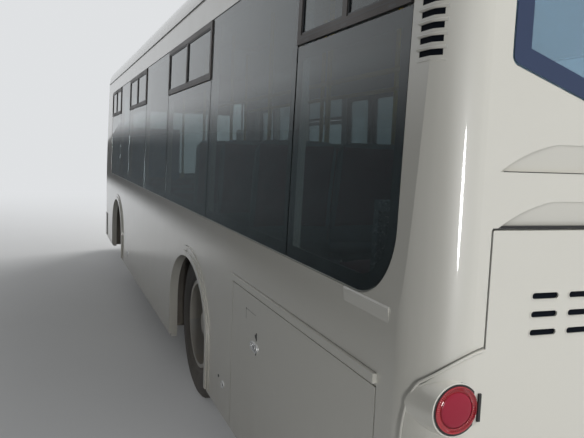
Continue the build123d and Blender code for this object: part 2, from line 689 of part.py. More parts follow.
for i in range(INTAKES):
    slot = Pos(0, INTAKE_Z + i * INTAKE_PITCH) * SlotOverall(INTAKE_W, INTAKE_H)
    front_bumper = front_bumper - end_prism(slot, *front_zone)
save("front_bumper", front_bumper)

# Wheel houses with their mud flaps
FLAP_T = 8.0
FLAP_FOOT_Z = 230.0


def wheel_house(x, flap_y):
    outer = HOUSE_HALF + HOUSE_T
    y1 = HALF - WALL - GAP
    base = FLOOR_Z - FLOOR_T
    solid = block(x - outer, x + outer, HOUSE_IN - HOUSE_T, y1, base, HOUSE_TOP_Z + HOUSE_T)
    solid = solid - block(x - HOUSE_HALF, x + HOUSE_HALF, HOUSE_IN, HALF, 0, HOUSE_TOP_Z)
    flap = block(x - HOUSE_HALF, x - HOUSE_HALF + FLAP_T, flap_y, y1 - 20, FLAP_FOOT_Z, base + 120)
    return solid + flap


front_house = wheel_house(X_FA, FRONT_TYRE_Y - TYRE_W / 2)
rear_house = wheel_house(X_RA, REAR_TYRE_Y - TWIN_PITCH - TYRE_W / 2 + 30)
axle_notch = block(X_RA - 130, X_RA + 130, HOUSE_IN - FAR, HOUSE_IN + 10, 0, WHEEL_R + 130)
houses = front_house + (rear_house - axle_notch)
save("wheel_houses", houses + mirrored(houses))


def house_room(x):
    outer = HOUSE_HALF + HOUSE_T + GAP
    room = block(x - outer, x + outer, HOUSE_IN - HOUSE_T - GAP, HALF, 0, HOUSE_TOP_Z + HOUSE_T + GAP)
    return room + mirrored(room)


# Floor. Columns: front edge, rear edge, top.
DECKS = (
    (X_FRONT, STEP_X, FLOOR_Z),
    (STEP_X, HIGH_X, STEP_Z),
    (HIGH_X, ENGINE_X, HIGH_Z),
    (ENGINE_X, SHELF_X, ENGINE_DECK_Z),
    (SHELF_X, X_REAR, SHELF_Z),
)
floor = None
last_z = None
for front, rear, z in DECKS:
    deck = block(rear, front, -HALF, HALF, z - FLOOR_T, z)
    if last_z is not None:
        deck = deck + block(front - FLOOR_T, front, -HALF, HALF, last_z - FLOOR_T, z)
    floor = deck if floor is None else floor + deck
    last_z = z
platform_x0 = X_FA + HOUSE_HALF + HOUSE_T + GAP
floor = floor + block(platform_x0, X_FRONT, 300, HALF, FLOOR_Z, PLATFORM_Z)
floor = (floor & inside) - house_room(X_FA) - house_room(X_RA)
for name, x0, width, leaves in DOORWAYS:
    tread = block(x0 + GAP, x0 + width - GAP, -HALF + DOOR_SET, -HALF + 2 * WALL, sill_z + GAP, FLOOR_Z)
    floor = floor + tread
for pin in door_pins:
    foot = (pin, -door_pin_y, FLOOR_Z - DOOR_PIN_IN - GAP)
    floor = floor - rod(foot, (pin, -door_pin_y, HIGH_Z), DOOR_PIN_R + FIT)
save("floor", floor)

# Chassis frame
LOW_CROSS_XS = (4250.0, 3400.0, 1950.0, 1000.0, 0.0, -1000.0)
HIGH_CROSS_XS = (-2560.0, -3450.0, -4480.0)
ENGINE_X0 = X_REAR + 330.0
ENGINE_X1 = ENGINE_X - 60.0
ENGINE_HALF = 380.0
ENGINE_Z0 = 430.0
ENGINE_Z1 = ENGINE_DECK_Z - FLOOR_T - 40.0
CRADLE_XS = (ENGINE_X0 + 150.0, ENGINE_X1 - 150.0)
TOW_R = 21.0
TOW_T = 24.0
TOW_INSET = 130.0
TOW_Z = LOW_RAIL_Z - 45.0
TOW_HALF = 45.0             # half the width of an eye, and its depth below the hole
END_POST = 120.0            # length of the posts at the rear that carry the bumper and the eye
END_FOOT_Z = BUMPER_FOOT_Z + 40.0
POST = 90.0                 # length of the posts where the rails step up
r0 = RAIL_Y - RAIL_W / 2
r1 = RAIL_Y + RAIL_W / 2
step_top = STEP_Z - FLOOR_T
step_foot = step_top - RAIL_H
low_top = LOW_RAIL_Z + RAIL_H
high_top = HIGH_RAIL_Z + RAIL_H
post_x = STEP_X - FLOOR_T
high_x = HIGH_X - FLOOR_T
eye_x = X_FRONT - TOW_INSET
# Columns of each member on one side of the frame: rear end, front end, foot, top.
RAIL_MEMBERS = (
    (post_x - POST, X_FRONT, LOW_RAIL_Z, low_top),
    (post_x - POST, post_x, low_top + GAP, step_foot - GAP),
    (high_x - POST, post_x, step_foot, step_top),
    (high_x - POST, high_x, step_top + GAP, HIGH_RAIL_Z - GAP),
    (X_REAR, high_x, HIGH_RAIL_Z, high_top),
    (X_REAR, X_REAR + END_POST, END_FOOT_Z, HIGH_RAIL_Z - GAP),
    (CRADLE_XS[0] - CROSS_W / 2, CRADLE_XS[0] + CROSS_W / 2, ENGINE_Z0 + GAP, HIGH_RAIL_Z - GAP),
    (CRADLE_XS[1] - CROSS_W / 2, CRADLE_XS[1] + CROSS_W / 2, ENGINE_Z0 + GAP, HIGH_RAIL_Z - GAP),
)
members = []
for x0, x1, z0, z1 in RAIL_MEMBERS:
    member = block(x0, x1, r0, r1, z0, z1) & inside
    members += [member, mirrored(member)]
for xs, foot_z in ((LOW_CROSS_XS, LOW_RAIL_Z), (HIGH_CROSS_XS, HIGH_RAIL_Z)):
    for x in xs:
        x0 = x - CROSS_W / 2
        x1 = x + CROSS_W / 2
        outrigger = block(x0, x1, r1 + GAP, HALF, foot_z, foot_z + RAIL_H) & inside
        members += [outrigger, mirrored(outrigger)]
        members.append(block(x0, x1, -r0 + GAP, r0 - GAP, foot_z, foot_z + RAIL_H) & inside)
for x in CRADLE_XS:
    members.append(block(x - CROSS_W / 2, x + CROSS_W / 2, -r1, r1, ENGINE_Z0 - 50, ENGINE_Z0))
for x, eye_top in ((-eye_x, END_FOOT_Z), (eye_x, LOW_RAIL_Z)):
    eye = block(x - TOW_HALF, x + TOW_HALF, r0 + 20, r0 + 20 + TOW_T, TOW_Z - TOW_HALF, eye_top - GAP)
    corners = eye.edges().filter_by(Axis.Y).group_by(Axis.Z)[0]
    eye = fillet(corners, TOW_HALF - 5.0)
    members.append(eye - rod((x, r0, TOW_Z), (x, r1, TOW_Z), TOW_R))
save("chassis_frame", Compound(children=[member.solids()[0] for member in members]))
engine = block(ENGINE_X0, ENGINE_X1, -ENGINE_HALF, ENGINE_HALF, ENGINE_Z0, ENGINE_Z1)
save("engine_block", chamfer(engine.edges().filter_by(Axis.X), 60))

# Front axle: a dropped beam with eyes for the kingpins and air springs under the rails
BEAM_W = 90.0
BEAM_Z0 = 140.0
BEAM_H = 60.0
EYE_R = 48.0
EYE_H = 130.0
beam_face = polygon((-KINGPIN_Y, WHEEL_R - 45), (-790, WHEEL_R - 45), (-700, BEAM_Z0), (700, BEAM_Z0),
                    (790, WHEEL_R - 45), (KINGPIN_Y, WHEEL_R - 45), (KINGPIN_Y, WHEEL_R + 45),
                    (755, WHEEL_R + 45), (650, BEAM_Z0 + BEAM_H), (-650, BEAM_Z0 + BEAM_H),
                    (-755, WHEEL_R + 45), (-KINGPIN_Y, WHEEL_R + 45))
front_axle = end_prism(beam_face, X_FA - BEAM_W / 2, X_FA + BEAM_W / 2)
spring_z = BEAM_Z0 + BEAM_H
for sign in (-1, 1):
    eye = rod((X_FA, sign * KINGPIN_Y, WHEEL_R - EYE_H / 2), (X_FA, sign * KINGPIN_Y, WHEEL_R + EYE_H / 2), EYE_R)
    bore = rod((X_FA, sign * KINGPIN_Y, 0), (X_FA, sign * KINGPIN_Y, HEIGHT), KINGPIN_R + FIT)
    spring = rod((X_FA, sign * RAIL_Y, spring_z), (X_FA, sign * RAIL_Y, LOW_RAIL_Z), 85)
    front_axle = front_axle + eye - bore + spring
save("front_axle", front_axle)

# Rear axle: a banjo housing with air springs, its spindles and the shaft from the engine
TUBE_R = 72.0
SPINDLE_R = 45.0
BANJO_R = 185.0
banjo = Pos(X_RA, 0, WHEEL_R) * Rot(90, 0, 0) * Cylinder(BANJO_R, 200)
banjo = fillet(banjo.edges().filter_by(GeomType.CIRCLE), 70)
rear_hub_in = REAR_TYRE_Y - TWIN_PITCH - TYRE_W / 2 + 20
rear_axle = banjo + rod((X_RA, -rear_hub_in, WHEEL_R), (X_RA, rear_hub_in, WHEEL_R), TUBE_R)
rear_axle = rear_axle + rod((X_RA, -REAR_TYRE_Y, WHEEL_R), (X_RA, REAR_TYRE_Y, WHEEL_R), SPINDLE_R)
rear_axle = rear_axle + rod((X_RA, 0, WHEEL_R), (ENGINE_X1, 0, WHEEL_R + 40), 34)
for sign in (-1, 1):
    seat = block(X_RA - 80, X_RA + 80, sign * RAIL_Y - 60, sign * RAIL_Y + 60, WHEEL_R, WHEEL_R + TUBE_R + 20)
    spring = rod((X_RA, sign * RAIL_Y, WHEEL_R), (X_RA, sign * RAIL_Y, HIGH_RAIL_Z), 70)
    rear_axle = rear_axle + seat + spring
rear_axle = rear_axle - block(ENGINE_X0, ENGINE_X1, -HALF, HALF, 0, HEIGHT)
save("rear_axle", rear_axle)

# Steering knuckles
FORK_T = 30.0
FORK_W = 100.0
FORK_GAP = 1.0
fork_z = EYE_H / 2 + FORK_GAP
web_y0 = KINGPIN_Y + EYE_R + 12.0
web_y1 = web_y0 + 30.0
knuckle = rod((X_FA, KINGPIN_Y, WHEEL_R - fork_z - FORK_T), (X_FA, KINGPIN_Y, WHEEL_R + fork_z + FORK_T), KINGPIN_R)
for z in (WHEEL_R - fork_z - FORK_T, WHEEL_R + fork_z):
    lug = block(X_FA - FORK_W / 2, X_FA + FORK_W / 2, KINGPIN_Y - FORK_W / 2, web_y1, z, z + FORK_T)
    lug = fillet(lug.edges().filter_by(Axis.Z).group_by(Axis.Y)[0], FORK_W / 2 - 6)
    knuckle = knuckle + lug
knuckle = knuckle + block(X_FA - FORK_W / 2, X_FA + FORK_W / 2, web_y0, web_y1, WHEEL_R - fork_z - FORK_T,
                          WHEEL_R + fork_z + FORK_T)
spindle_end = FRONT_TYRE_Y + 130.0
knuckle = knuckle + rod((X_FA, web_y0, WHEEL_R), (X_FA, spindle_end, WHEEL_R), SPINDLE_R)
save("knuckle_left", knuckle)
save("knuckle_right", mirrored(knuckle))

# Wheels, drawn as half sections: X is the radius and Y the distance outboard from the tyre's middle
HAND_HOLES = 10
HAND_HOLE_R = 26.0
HAND_HOLE_PCR = 229.0
DISC_FLAT_R = 193.0         # bolted face of the disc
DISC_DISH = 45.0            # how far the disc leans back from that face to the barrel
HUB_R = 138.0
CAP_R = 84.0
CAP_TAPER = 26.0


def turned(face, x, y, outward):
    """Revolve a half section about an axis across the bus; outward is 1 or -1."""
    solid = revolve(Plane(origin=(0, 0, 0), x_dir=(1, 0, 0), z_dir=(0, 0, 1)) * face, Axis.Y)
    if outward < 0:
        solid = mirrored(solid)
    return Pos(x, y, WHEEL_R) * solid


def tyre_section():
    half = TYRE_W / 2
    bead = RIM_R + GAP
    foot = RIM_W / 2 - SHEET - GAP
    seat = RIM_R + RIM_FLANGE + 2.0
    face = polygon((bead, -foot), (seat, -foot), (WHEEL_R - 130, -half), (WHEEL_R - 45, -half + 6),
                   (WHEEL_R, -half + 30), (WHEEL_R, half - 30), (WHEEL_R - 45, half - 6),
                   (WHEEL_R - 130, half), (seat, foot), (bead, foot))
    for sign in (-1, 1):
        face = round_corner(face, (WHEEL_R, sign * (half - 30)), 22)
        face = round_corner(face, (WHEEL_R - 130, sign * half), 50)
    return face


def rim_section(disc_y, hub_from, hub_to):
    """Barrel with turned-up flanges, a disc at disc_y and the hub it is bolted to."""
    w = RIM_W / 2
    lip = RIM_R + RIM_FLANGE
    barrel = polygon((RIM_R - SHEET, -w), (lip, -w), (lip, -w + SHEET), (RIM_R, -w + SHEET),
                     (RIM_R, w - SHEET), (lip, w - SHEET), (lip, w), (RIM_R - SHEET, w))
    lean = DISC_DISH if disc_y > 0 else -DISC_DISH
    near = disc_y - SHEET / 2
    far = disc_y + SHEET / 2
    barrel_r = RIM_R - SHEET / 2
    disc = polygon((SPINDLE_R + FIT, near), (DISC_FLAT_R, near), (barrel_r, near - lean), (barrel_r, far - lean),
                   (DISC_FLAT_R, far), (SPINDLE_R + FIT, far))
    hub = polygon((SPINDLE_R + FIT, hub_from), (HUB_R, hub_from), (HUB_R, hub_to), (SPINDLE_R + FIT, hub_to))
    return barrel + disc + hub


def hand_holes(x, y):
    holes = None
    for i in range(HAND_HOLES):
        angle = radians(360 / HAND_HOLES * i)
        px = x + HAND_HOLE_PCR * cos(angle)
        pz = WHEEL_R + HAND_HOLE_PCR * sin(angle)
        hole = rod((px, y - 60, pz), (px, y + 60, pz), HAND_HOLE_R)
        holes = hole if holes is None else holes + hole
    return holes


def hub_cap(x, y, height):
    """A cap on the hub's end, narrowing to its outer face."""
    cap = rod((x, y, WHEEL_R), (x, y + height, WHEEL_R), CAP_R)
    return chamfer(cap.edges().group_by(Axis.Y)[-1], CAP_TAPER / 2, CAP_TAPER / 2)


front_tyre = turned(tyre_section(), X_FA, FRONT_TYRE_Y, 1)
FRONT_DISC = 95.0
front_rim = turned(rim_section(FRONT_DISC, web_y1 - FRONT_TYRE_Y + 4, FRONT_DISC + 55), X_FA, FRONT_TYRE_Y, 1)
front_rim = front_rim - hand_holes(X_FA, FRONT_TYRE_Y + FRONT_DISC)
front_rim = front_rim + hub_cap(X_FA, spindle_end + 4, 24)
save("tyre_front_left", front_tyre)
save("tyre_front_right", mirrored(front_tyre))
save("rim_front_left", front_rim)
save("rim_front_right", mirrored(front_rim))

disc_gap = TWIN_PITCH / 2
rear_tyres = turned(tyre_section(), X_RA, REAR_TYRE_Y, 1) + turned(tyre_section(), X_RA, REAR_TYRE_Y - TWIN_PITCH, 1)
outer_rim = turned(rim_section(-disc_gap + SHEET / 2, -disc_gap - 100, 60), X_RA, REAR_TYRE_Y, 1)
inner_rim = turned(rim_section(disc_gap - SHEET / 2, disc_gap - 150, disc_gap), X_RA, REAR_TYRE_Y - TWIN_PITCH, 1)
rear_rims = outer_rim + inner_rim - hand_holes(X_RA, REAR_TYRE_Y - disc_gap)
rear_rims = rear_rims + hub_cap(X_RA, REAR_TYRE_Y + 1, 84)
save("tyres_rear_left", rear_tyres)
save("tyres_rear_right", mirrored(rear_tyres))
save("rims_rear_left", rear_rims)
save("rims_rear_right", mirrored(rear_rims))

# Passenger seats: moulded shells in pairs on a beam and leg
SEAT_W = 430.0
SEAT_PAIR_GAP = 20.0
SEAT_H = 440.0
SEAT_DEPTH = 420.0
BACK_H = 560.0
SHELL_T = 30.0
PAN_RISE = 25.0             # rise of a seat pan from back to front
PAN_R = 60.0
BACK_LEAN = 90.0
BACK_R = 70.0
SEAT_BEAM_X = 120.0         # beam under the pans, ahead of the back
SEAT_BEAM_W = 60.0
SEAT_BEAM_H = 50.0
LEG_HALF = 60.0


def seat_pair(x, y, base_z, cushion_z):
    """Pans and backs of two seats facing forward, centred on y, with their beam and the leg down to base_z."""
    t = SHELL_T
    slope = PAN_RISE / SEAT_DEPTH
    foot = t + t * slope + GAP
    pan_face = polygon((0, 0), (SEAT_DEPTH, PAN_RISE), (SEAT_DEPTH, PAN_RISE + t), (0, t))
    back_face = polygon((0, foot), (t, foot), (t - BACK_LEAN, BACK_H), (-BACK_LEAN, BACK_H))
    solids = []
    for sign in (-1, 1):
        mid = y + sign * (SEAT_W + SEAT_PAIR_GAP) / 2
        pan = side_prism(pan_face, mid - SEAT_W / 2, mid + SEAT_W / 2)
        pan = fillet(pan.edges().filter_by(Axis.Z).group_by(Axis.X)[-1], PAN_R)
        back = side_prism(back_face, mid - SEAT_W / 2, mid + SEAT_W / 2)
        back = fillet(back.edges().filter_by(Axis.X).group_by(Axis.Z)[-1], BACK_R)
        solids += [Pos(x, 0, cushion_z - t) * pan, Pos(x, 0, cushion_z - t) * back]
    x0 = x + SEAT_BEAM_X
    x1 = x0 + SEAT_BEAM_W
    beam_top = cushion_z - t + slope * SEAT_BEAM_X - GAP
    solids.append(block(x0, x1, y - SEAT_W, y + SEAT_W, beam_top - SEAT_BEAM_H, beam_top))
    solids.append(block(x0, x1, y - LEG_HALF, y + LEG_HALF, base_z, beam_top - SEAT_BEAM_H - GAP))
    return solids


SEAT_Y = HALF - WALL - 30.0 - SEAT_W - SEAT_PAIR_GAP / 2
house_z = HOUSE_TOP_Z + HOUSE_T
# Columns: place of the seat back, side (1 left, -1 right), what the leg stands on.
SEATS = (
    (1420.0, 1, FLOOR_Z), (700.0, 1, FLOOR_Z), (-20.0, 1, FLOOR_Z), (-740.0, 1, FLOOR_Z),
    (1420.0, -1, FLOOR_Z), (-1060.0, -1, FLOOR_Z),
    (-1700.0, 1, HIGH_Z), (-2350.0, 1, HIGH_Z), (-3000.0, 1, HIGH_Z),
    (-1700.0, -1, HIGH_Z), (-2350.0, -1, HIGH_Z), (-3000.0, -1, HIGH_Z),
)
seats = []
for x, side, base in SEATS:
    over_house = abs(x + SEAT_BEAM_X + SEAT_BEAM_W / 2 - X_RA) < HOUSE_HALF
    leg_base = house_z if over_house else base
    seats += seat_pair(x, side * SEAT_Y, leg_base + GAP, base + SEAT_H)
BENCH_W = 2200.0
bench_face = polygon((SHELF_X + GAP, ENGINE_DECK_Z + GAP), (SHELF_X + 520, ENGINE_DECK_Z + GAP),
                     (SHELF_X + 520, ENGINE_DECK_Z + 90), (SHELF_X + 110, ENGINE_DECK_Z + 70),
                     (SHELF_X + 40, SHELF_Z + 120), (SHELF_X + GAP, SHELF_Z + 120))
bench = side_prism(bench_face, -BENCH_W / 2, BENCH_W / 2)
save("passenger_seats", Compound(children=[piece.solids()[0] for piece in seats + [bench]]))

# Driver's place
SEAT_X = 3690.0
DRIVER_Y = 720.0
seat = Pos(SEAT_X, DRIVER_Y, PLATFORM_Z + 390) * Box(460, 480, 110)
seat = fillet(seat.edges(), 30)
back = Pos(SEAT_X - 250, DRIVER_Y, PLATFORM_Z + 780) * Rot(0, -8, 0) * Box(110, 470, 760)
back = fillet(back.edges(), 30)
pillar = block(SEAT_X - 150, SEAT_X + 150, DRIVER_Y - 150, DRIVER_Y + 150, PLATFORM_Z + GAP, PLATFORM_Z + 345)
save("driver_seat", seat + back + pillar)

dash_face = polygon((4230, PLATFORM_Z + GAP), (X_FRONT, PLATFORM_Z + GAP), (X_FRONT, 1130), (4330, 1130), (4180, 1060),
                    (4150, 960))
dash = side_prism(dash_face, -250, HALF) & inside
save("dashboard", dash)
WHEEL_POS = (4020.0, DRIVER_Y, PLATFORM_Z + 750.0)
COLUMN_L = 640.0
tilt = Plane(origin=WHEEL_POS, z_dir=(-sin(radians(28)), 0, cos(radians(28))))
ring = tilt * Torus(225, 16)
hub = tilt * extrude(Circle(55), 30)
spokes = tilt * Box(430, 40, 14)
spokes = spokes + tilt * Rot(0, 0, 90) * Box(430, 40, 14)
column = tilt * Pos(0, 0, -COLUMN_L / 2) * Cylinder(28, COLUMN_L)
steering = ring + hub + spokes + column
steering = steering - block(4000, X_FRONT, 0, HALF, 0, PLATFORM_Z + GAP) - dash
save("steering_wheel", steering.solids().sort_by(SortBy.VOLUME)[-1])

partition = block(platform_x0 + 12, platform_x0 + 36, 300, HALF, PLATFORM_Z + GAP, 1950) & inside
save("driver_partition", partition)

# Handrails: stanchions from floor to ceiling joined by a rail under the ceiling
POLE_R = 17.5
RAIL_Z = 2180.0
POLE_Y = SEAT_Y - SEAT_W - SEAT_PAIR_GAP / 2 - POLE_R - 7.5
# Columns: place and what each stanchion stands on, left then right.
LEFT_POLES = ((3200.0, FLOOR_Z), (1880.0, FLOOR_Z), (620.0, FLOOR_Z), (-640.0, FLOOR_Z),
              (-1900.0, HIGH_Z), (-3100.0, HIGH_Z))
RIGHT_POLES = ((1880.0, FLOOR_Z), (900.0, FLOOR_Z), (-560.0, FLOOR_Z), (-1900.0, HIGH_Z), (-3100.0, HIGH_Z))
rails = []
for side, poles in ((1, LEFT_POLES), (-1, RIGHT_POLES)):
    y = side * POLE_Y
    last_x = None
    for x, base in poles:
        rails.append(rod((x, y, base + GAP), (x, y, HEIGHT), POLE_R) & inside)
        if last_x is not None:
            rails.append(rod((x + POLE_R + GAP, y, RAIL_Z), (last_x - POLE_R - GAP, y, RAIL_Z), POLE_R))
        last_x = x
save("handrails", Compound(children=[piece.solids()[0] for piece in rails]))

# Destination box behind the top of the windscreen
SIGN = (4180.0, 4290.0, 760.0, 2240.0, 2470.0)
x0, x1, half, z0, z1 = SIGN
sign = [block(x0, x1, -half, half, z0, z1) & inside]
for sign_y in (-1, 1):
    sign.append(block(x0, x0 + 40, sign_y * 500 - 30, sign_y * 500 + 30, z1 + GAP, HEIGHT) & inside)
save("destination_sign", Compound(children=[piece.solids()[0] for piece in sign]))

# Mirrors on arms from the front mask
MIRROR_X = X_FRONT - 75.0
MIRROR_Y = HALF - 190.0
MIRROR_SIZE = (80.0, 200.0, 340.0)
MIRROR_TOP_Z = 2030.0
ARM_R = 15.0
ARM_Z = SCREEN_Z1 - 15.0
ARM_RISE = 80.0
ARM_REACH = 295.0           # from the root, inside the mask above the windscreen, out to the knee
arm_root = (MIRROR_X - ARM_REACH, MIRROR_Y, ARM_Z + ARM_RISE)
arm_knee = (MIRROR_X, MIRROR_Y, ARM_Z)
arm_end = (MIRROR_X, MIRROR_Y, MIRROR_TOP_Z - 40.0)
mirror_arm = rod(arm_root, arm_knee, ARM_R) + rod(arm_knee, arm_end, ARM_R) + Pos(*arm_knee) * Sphere(ARM_R)
mirror_arm = mirror_arm - envelope(-GAP)
head = Pos(MIRROR_X, MIRROR_Y, MIRROR_TOP_Z - MIRROR_SIZE[2] / 2) * Box(*MIRROR_SIZE)
head = fillet(head.edges(), 32)
mirror_piece = (mirror_arm + head).solids().sort_by(SortBy.VOLUME)[-1]
save("mirrors", mirror_piece + mirrored(mirror_piece))

# Wipers, lying on the glass with their pivots on the mask below it
WIPER_PROUD = 9.0
wiper_skin = skin(-WIPER_PROUD, -GAP)
wipers = None
for start in (-900.0, 40.0):
    blade = block(X_FRONT - 300, X_FRONT + FAR, start, start + 780, SCREEN_Z0 + 50, SCREEN_Z0 + 72)
    arm = block(X_FRONT - 300, X_FRONT + FAR, start, start + 34, SCREEN_Z0 - 55, SCREEN_Z0 + 72)
    piece = wiper_skin & (blade + arm)
    wipers = piece if wipers is None else wipers + piece
save("wipers", wipers)
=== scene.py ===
# %% [markdown]
# # A city bus, dressed for a picture
# The panels, lids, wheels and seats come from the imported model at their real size.
# This script gives every surface its finish, and adds what a construction model leaves out:
# tyre tread, wheel nuts, printed glass borders, lamp lenses, locks, padding and small trim.
# Everything is in metres: X forward, Y to the left, Z up, with the origin on the ground.

# %% Load the frame
import json
from math import cos, pi, radians, sin, sqrt, tan

import bmesh
import bpy
import numpy as np
from mathutils import Matrix, Vector


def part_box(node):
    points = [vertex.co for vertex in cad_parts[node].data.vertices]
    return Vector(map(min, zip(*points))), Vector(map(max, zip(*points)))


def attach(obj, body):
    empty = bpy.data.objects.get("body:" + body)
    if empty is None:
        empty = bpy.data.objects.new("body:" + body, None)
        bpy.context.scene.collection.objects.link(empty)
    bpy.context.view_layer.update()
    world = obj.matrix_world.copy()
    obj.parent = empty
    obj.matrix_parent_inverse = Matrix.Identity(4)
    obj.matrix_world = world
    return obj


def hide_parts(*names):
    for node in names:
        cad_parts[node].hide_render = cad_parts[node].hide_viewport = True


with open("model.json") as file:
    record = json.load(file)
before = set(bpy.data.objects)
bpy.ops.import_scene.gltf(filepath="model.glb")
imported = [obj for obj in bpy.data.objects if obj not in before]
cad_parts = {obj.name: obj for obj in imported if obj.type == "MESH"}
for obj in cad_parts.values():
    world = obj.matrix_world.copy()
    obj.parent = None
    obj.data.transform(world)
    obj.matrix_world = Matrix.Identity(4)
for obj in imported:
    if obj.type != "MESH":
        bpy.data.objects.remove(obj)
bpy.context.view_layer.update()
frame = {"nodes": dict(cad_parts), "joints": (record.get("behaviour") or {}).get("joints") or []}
nodes = frame["nodes"]
pivot = {joint["child"]: np.array(joint["pos_m"]) for joint in frame["joints"]}

# %% [markdown]
# ## Camera
# The photograph was taken from close behind the left rear corner. A camera fitted to its straight lines
# gives the place, the three turns and the focal length. The turns are kept as angles, and the matrix is
# worked out from them, so that each one can be read and checked.

# %% Camera at the photograph's viewpoint
CAMERA_PLACE = (-6.020, 2.133, 1.698)
YAW = radians(21.39)
PITCH = radians(6.17)
ROLL = radians(-2.1)
FOCAL_PIXELS = 629.0
IMAGE_WIDTH = 584.0
SENSOR = 36.0

ahead = np.array([cos(PITCH) * cos(YAW), -cos(PITCH) * sin(YAW), -sin(PITCH)])
level = np.array([-sin(YAW), -cos(YAW), 0.0])
down = np.cross(ahead, level)
right = cos(ROLL) * level + sin(ROLL) * down
sunk = -sin(ROLL) * level + cos(ROLL) * down
view = bpy.data.cameras.new("photo_view")
view.sensor_width = SENSOR
view.lens = SENSOR * FOCAL_PIXELS / IMAGE_WIDTH
camera = bpy.data.objects.new("photo_view", view)
turn = Matrix([[right[i], -sunk[i], -ahead[i]] for i in range(3)]).to_4x4()
camera.matrix_world = Matrix.Translation(CAMERA_PLACE) @ turn
bpy.context.scene.collection.objects.link(camera)
bpy.context.scene.camera = camera
bpy.context.scene.view_settings.view_transform = "Standard"
print("lens", round(view.lens, 2), "mm")

# %% [markdown]
# ## The body's own surfaces
# Trim follows the skin it sits on. The side stands upright to the waist and then leans in; both ends are
# shallow arcs in plan with rounded corners, and the front rakes back. These few formulas give a point on
# each surface, so that a strip or a border can be laid on it at a chosen depth.

# %% Driving sizes and skin formulas
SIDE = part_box("side_hatch")[1].y
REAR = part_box("engine_lid")[0].x
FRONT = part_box("front_wall")[1].x
WAIST = 1.277
CANT = 2.565
LEAN = 0.030
REAR_BOW = 0.040
REAR_CORNER = 0.150
FRONT_BOW = 0.120
FRONT_CORNER = 0.330
FRONT_BREAK = 1.150
FRONT_RAKE = radians(9.0)
PANE_IN = 0.010
PANE_SET = 0.002
GLASS_TOP = 2.445
REAR_AXLE = pivot["wheels_rear_left"][0]


def side_y(z):
    """Half width of the skin at a height: full below the waist, then a straight lean inwards."""
    return SIDE - LEAN * np.clip(z - WAIST, 0.0, None) / (CANT - WAIST)


def end_arcs(bow, corner):
    """Radius of the wide arc, and the place across and along of the corner arc's centre."""
    radius = (SIDE ** 2 + bow ** 2) / (2 * bow)
    inner = SIDE - corner
    return radius, inner, radius - sqrt((radius - corner) ** 2 - inner ** 2)


def end_depth(y, bow, corner):
    """Distance of an end face from its own tip: a wide arc whose corner is a smaller, tangent arc."""
    radius, inner, centre = end_arcs(bow, corner)
    reach = np.abs(y)
    wide = radius - np.sqrt(radius ** 2 - reach ** 2)
    tight = centre - np.sqrt(np.clip(corner ** 2 - (reach - inner) ** 2, 0.0, None))
    return np.where(reach < inner * radius / (radius - corner), wide, tight)


def rear_depth(y):
    return end_depth(y, REAR_BOW, REAR_CORNER)


def rear_x(y):
    return REAR + rear_depth(y)


def front_x(y, z):
    raked = tan(FRONT_RAKE) * np.clip(z - FRONT_BREAK, 0.0, None)
    return FRONT - end_depth(y, FRONT_BOW, FRONT_CORNER) - raked


def slope_of(line, y, step=0.001):
    """Slope of a line of the plan, from its values one step to either side."""
    return (line(y + step) - line(y - step)) / (2 * step)


print("half width", SIDE, "at the cant rail", round(float(side_y(CANT)), 3))

# %% [markdown]
# ## Helpers for surfaces
# A new piece is a grid of points worked out as one array. One function turns such a grid into a mesh,
# another copies a small pattern mesh to many places at once. Seams and poles are merged, so each piece
# is closed.

# %% Mesh helpers
pieces = {}


def add_piece(name, points, faces, body, slot, finish, smooth=40.0, merge=1e-6):
    """A mesh object at the origin from whole arrays, merged, shaded by angle and riding on its body."""
    mesh = bpy.data.meshes.new(name)
    mesh.from_pydata(points.reshape(-1, 3).tolist(), [], faces.tolist())
    solid = bmesh.new()
    solid.from_mesh(mesh)
    bmesh.ops.remove_doubles(solid, verts=solid.verts, dist=merge)
    bmesh.ops.dissolve_degenerate(solid, edges=solid.edges, dist=merge)
    bmesh.ops.recalc_face_normals(solid, faces=solid.faces)
    solid.to_mesh(mesh)
    solid.free()
    mesh.shade_smooth()
    mesh.set_sharp_from_angle(angle=radians(smooth))
    piece = bpy.data.objects.new(name, mesh)
    bpy.context.scene.collection.objects.link(piece)
    piece.data.materials.append(finish)
    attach(piece, body)
    pieces[name] = piece
    print(name, len(mesh.polygons), "faces")
    return piece


def grid_faces(rows, cols, wrap_rows=False, wrap_cols=False):
    """Quads between neighbouring points of a grid; a wrapped direction joins its last line to its first."""
    index = np.arange(rows * cols).reshape(rows, cols)
    if wrap_rows:
        index = np.vstack([index, index[:1]])
    if wrap_cols:
        index = np.hstack([index, index[:, :1]])
    return np.stack([index[:-1, :-1], index[1:, :-1], index[1:, 1:], index[:-1, 1:]], -1).reshape(-1, 4)


def placed(points, faces, places):
    """Copies of one pattern mesh: every 4x4 place moves the pattern, and the face numbers move along."""
    count = len(points)
    flat = np.hstack([points, np.ones((count, 1))])
    moved = np.einsum("kij,nj->kni", places, flat)[:, :, :3]
    shifted = faces[None] + (np.arange(len(places)) * count)[:, None, None]
    return moved.reshape(-1, 3), shifted.reshape(-1, faces.shape[1])


def joined(*parts):
    """One point array and one face array from several."""
    points = np.concatenate([p.reshape(-1, 3) for p, f in parts])
    starts = np.cumsum([0] + [p.size // 3 for p, f in parts[:-1]])
    faces = np.concatenate([f + start for (p, f), start in zip(parts, starts)])
    return points, faces


def place(origin, x_axis, y_axis, z_axis):
    made = np.eye(4)
    made[:3, 0] = x_axis
    made[:3, 1] = y_axis
    made[:3, 2] = z_axis
    made[:3, 3] = origin
    return made


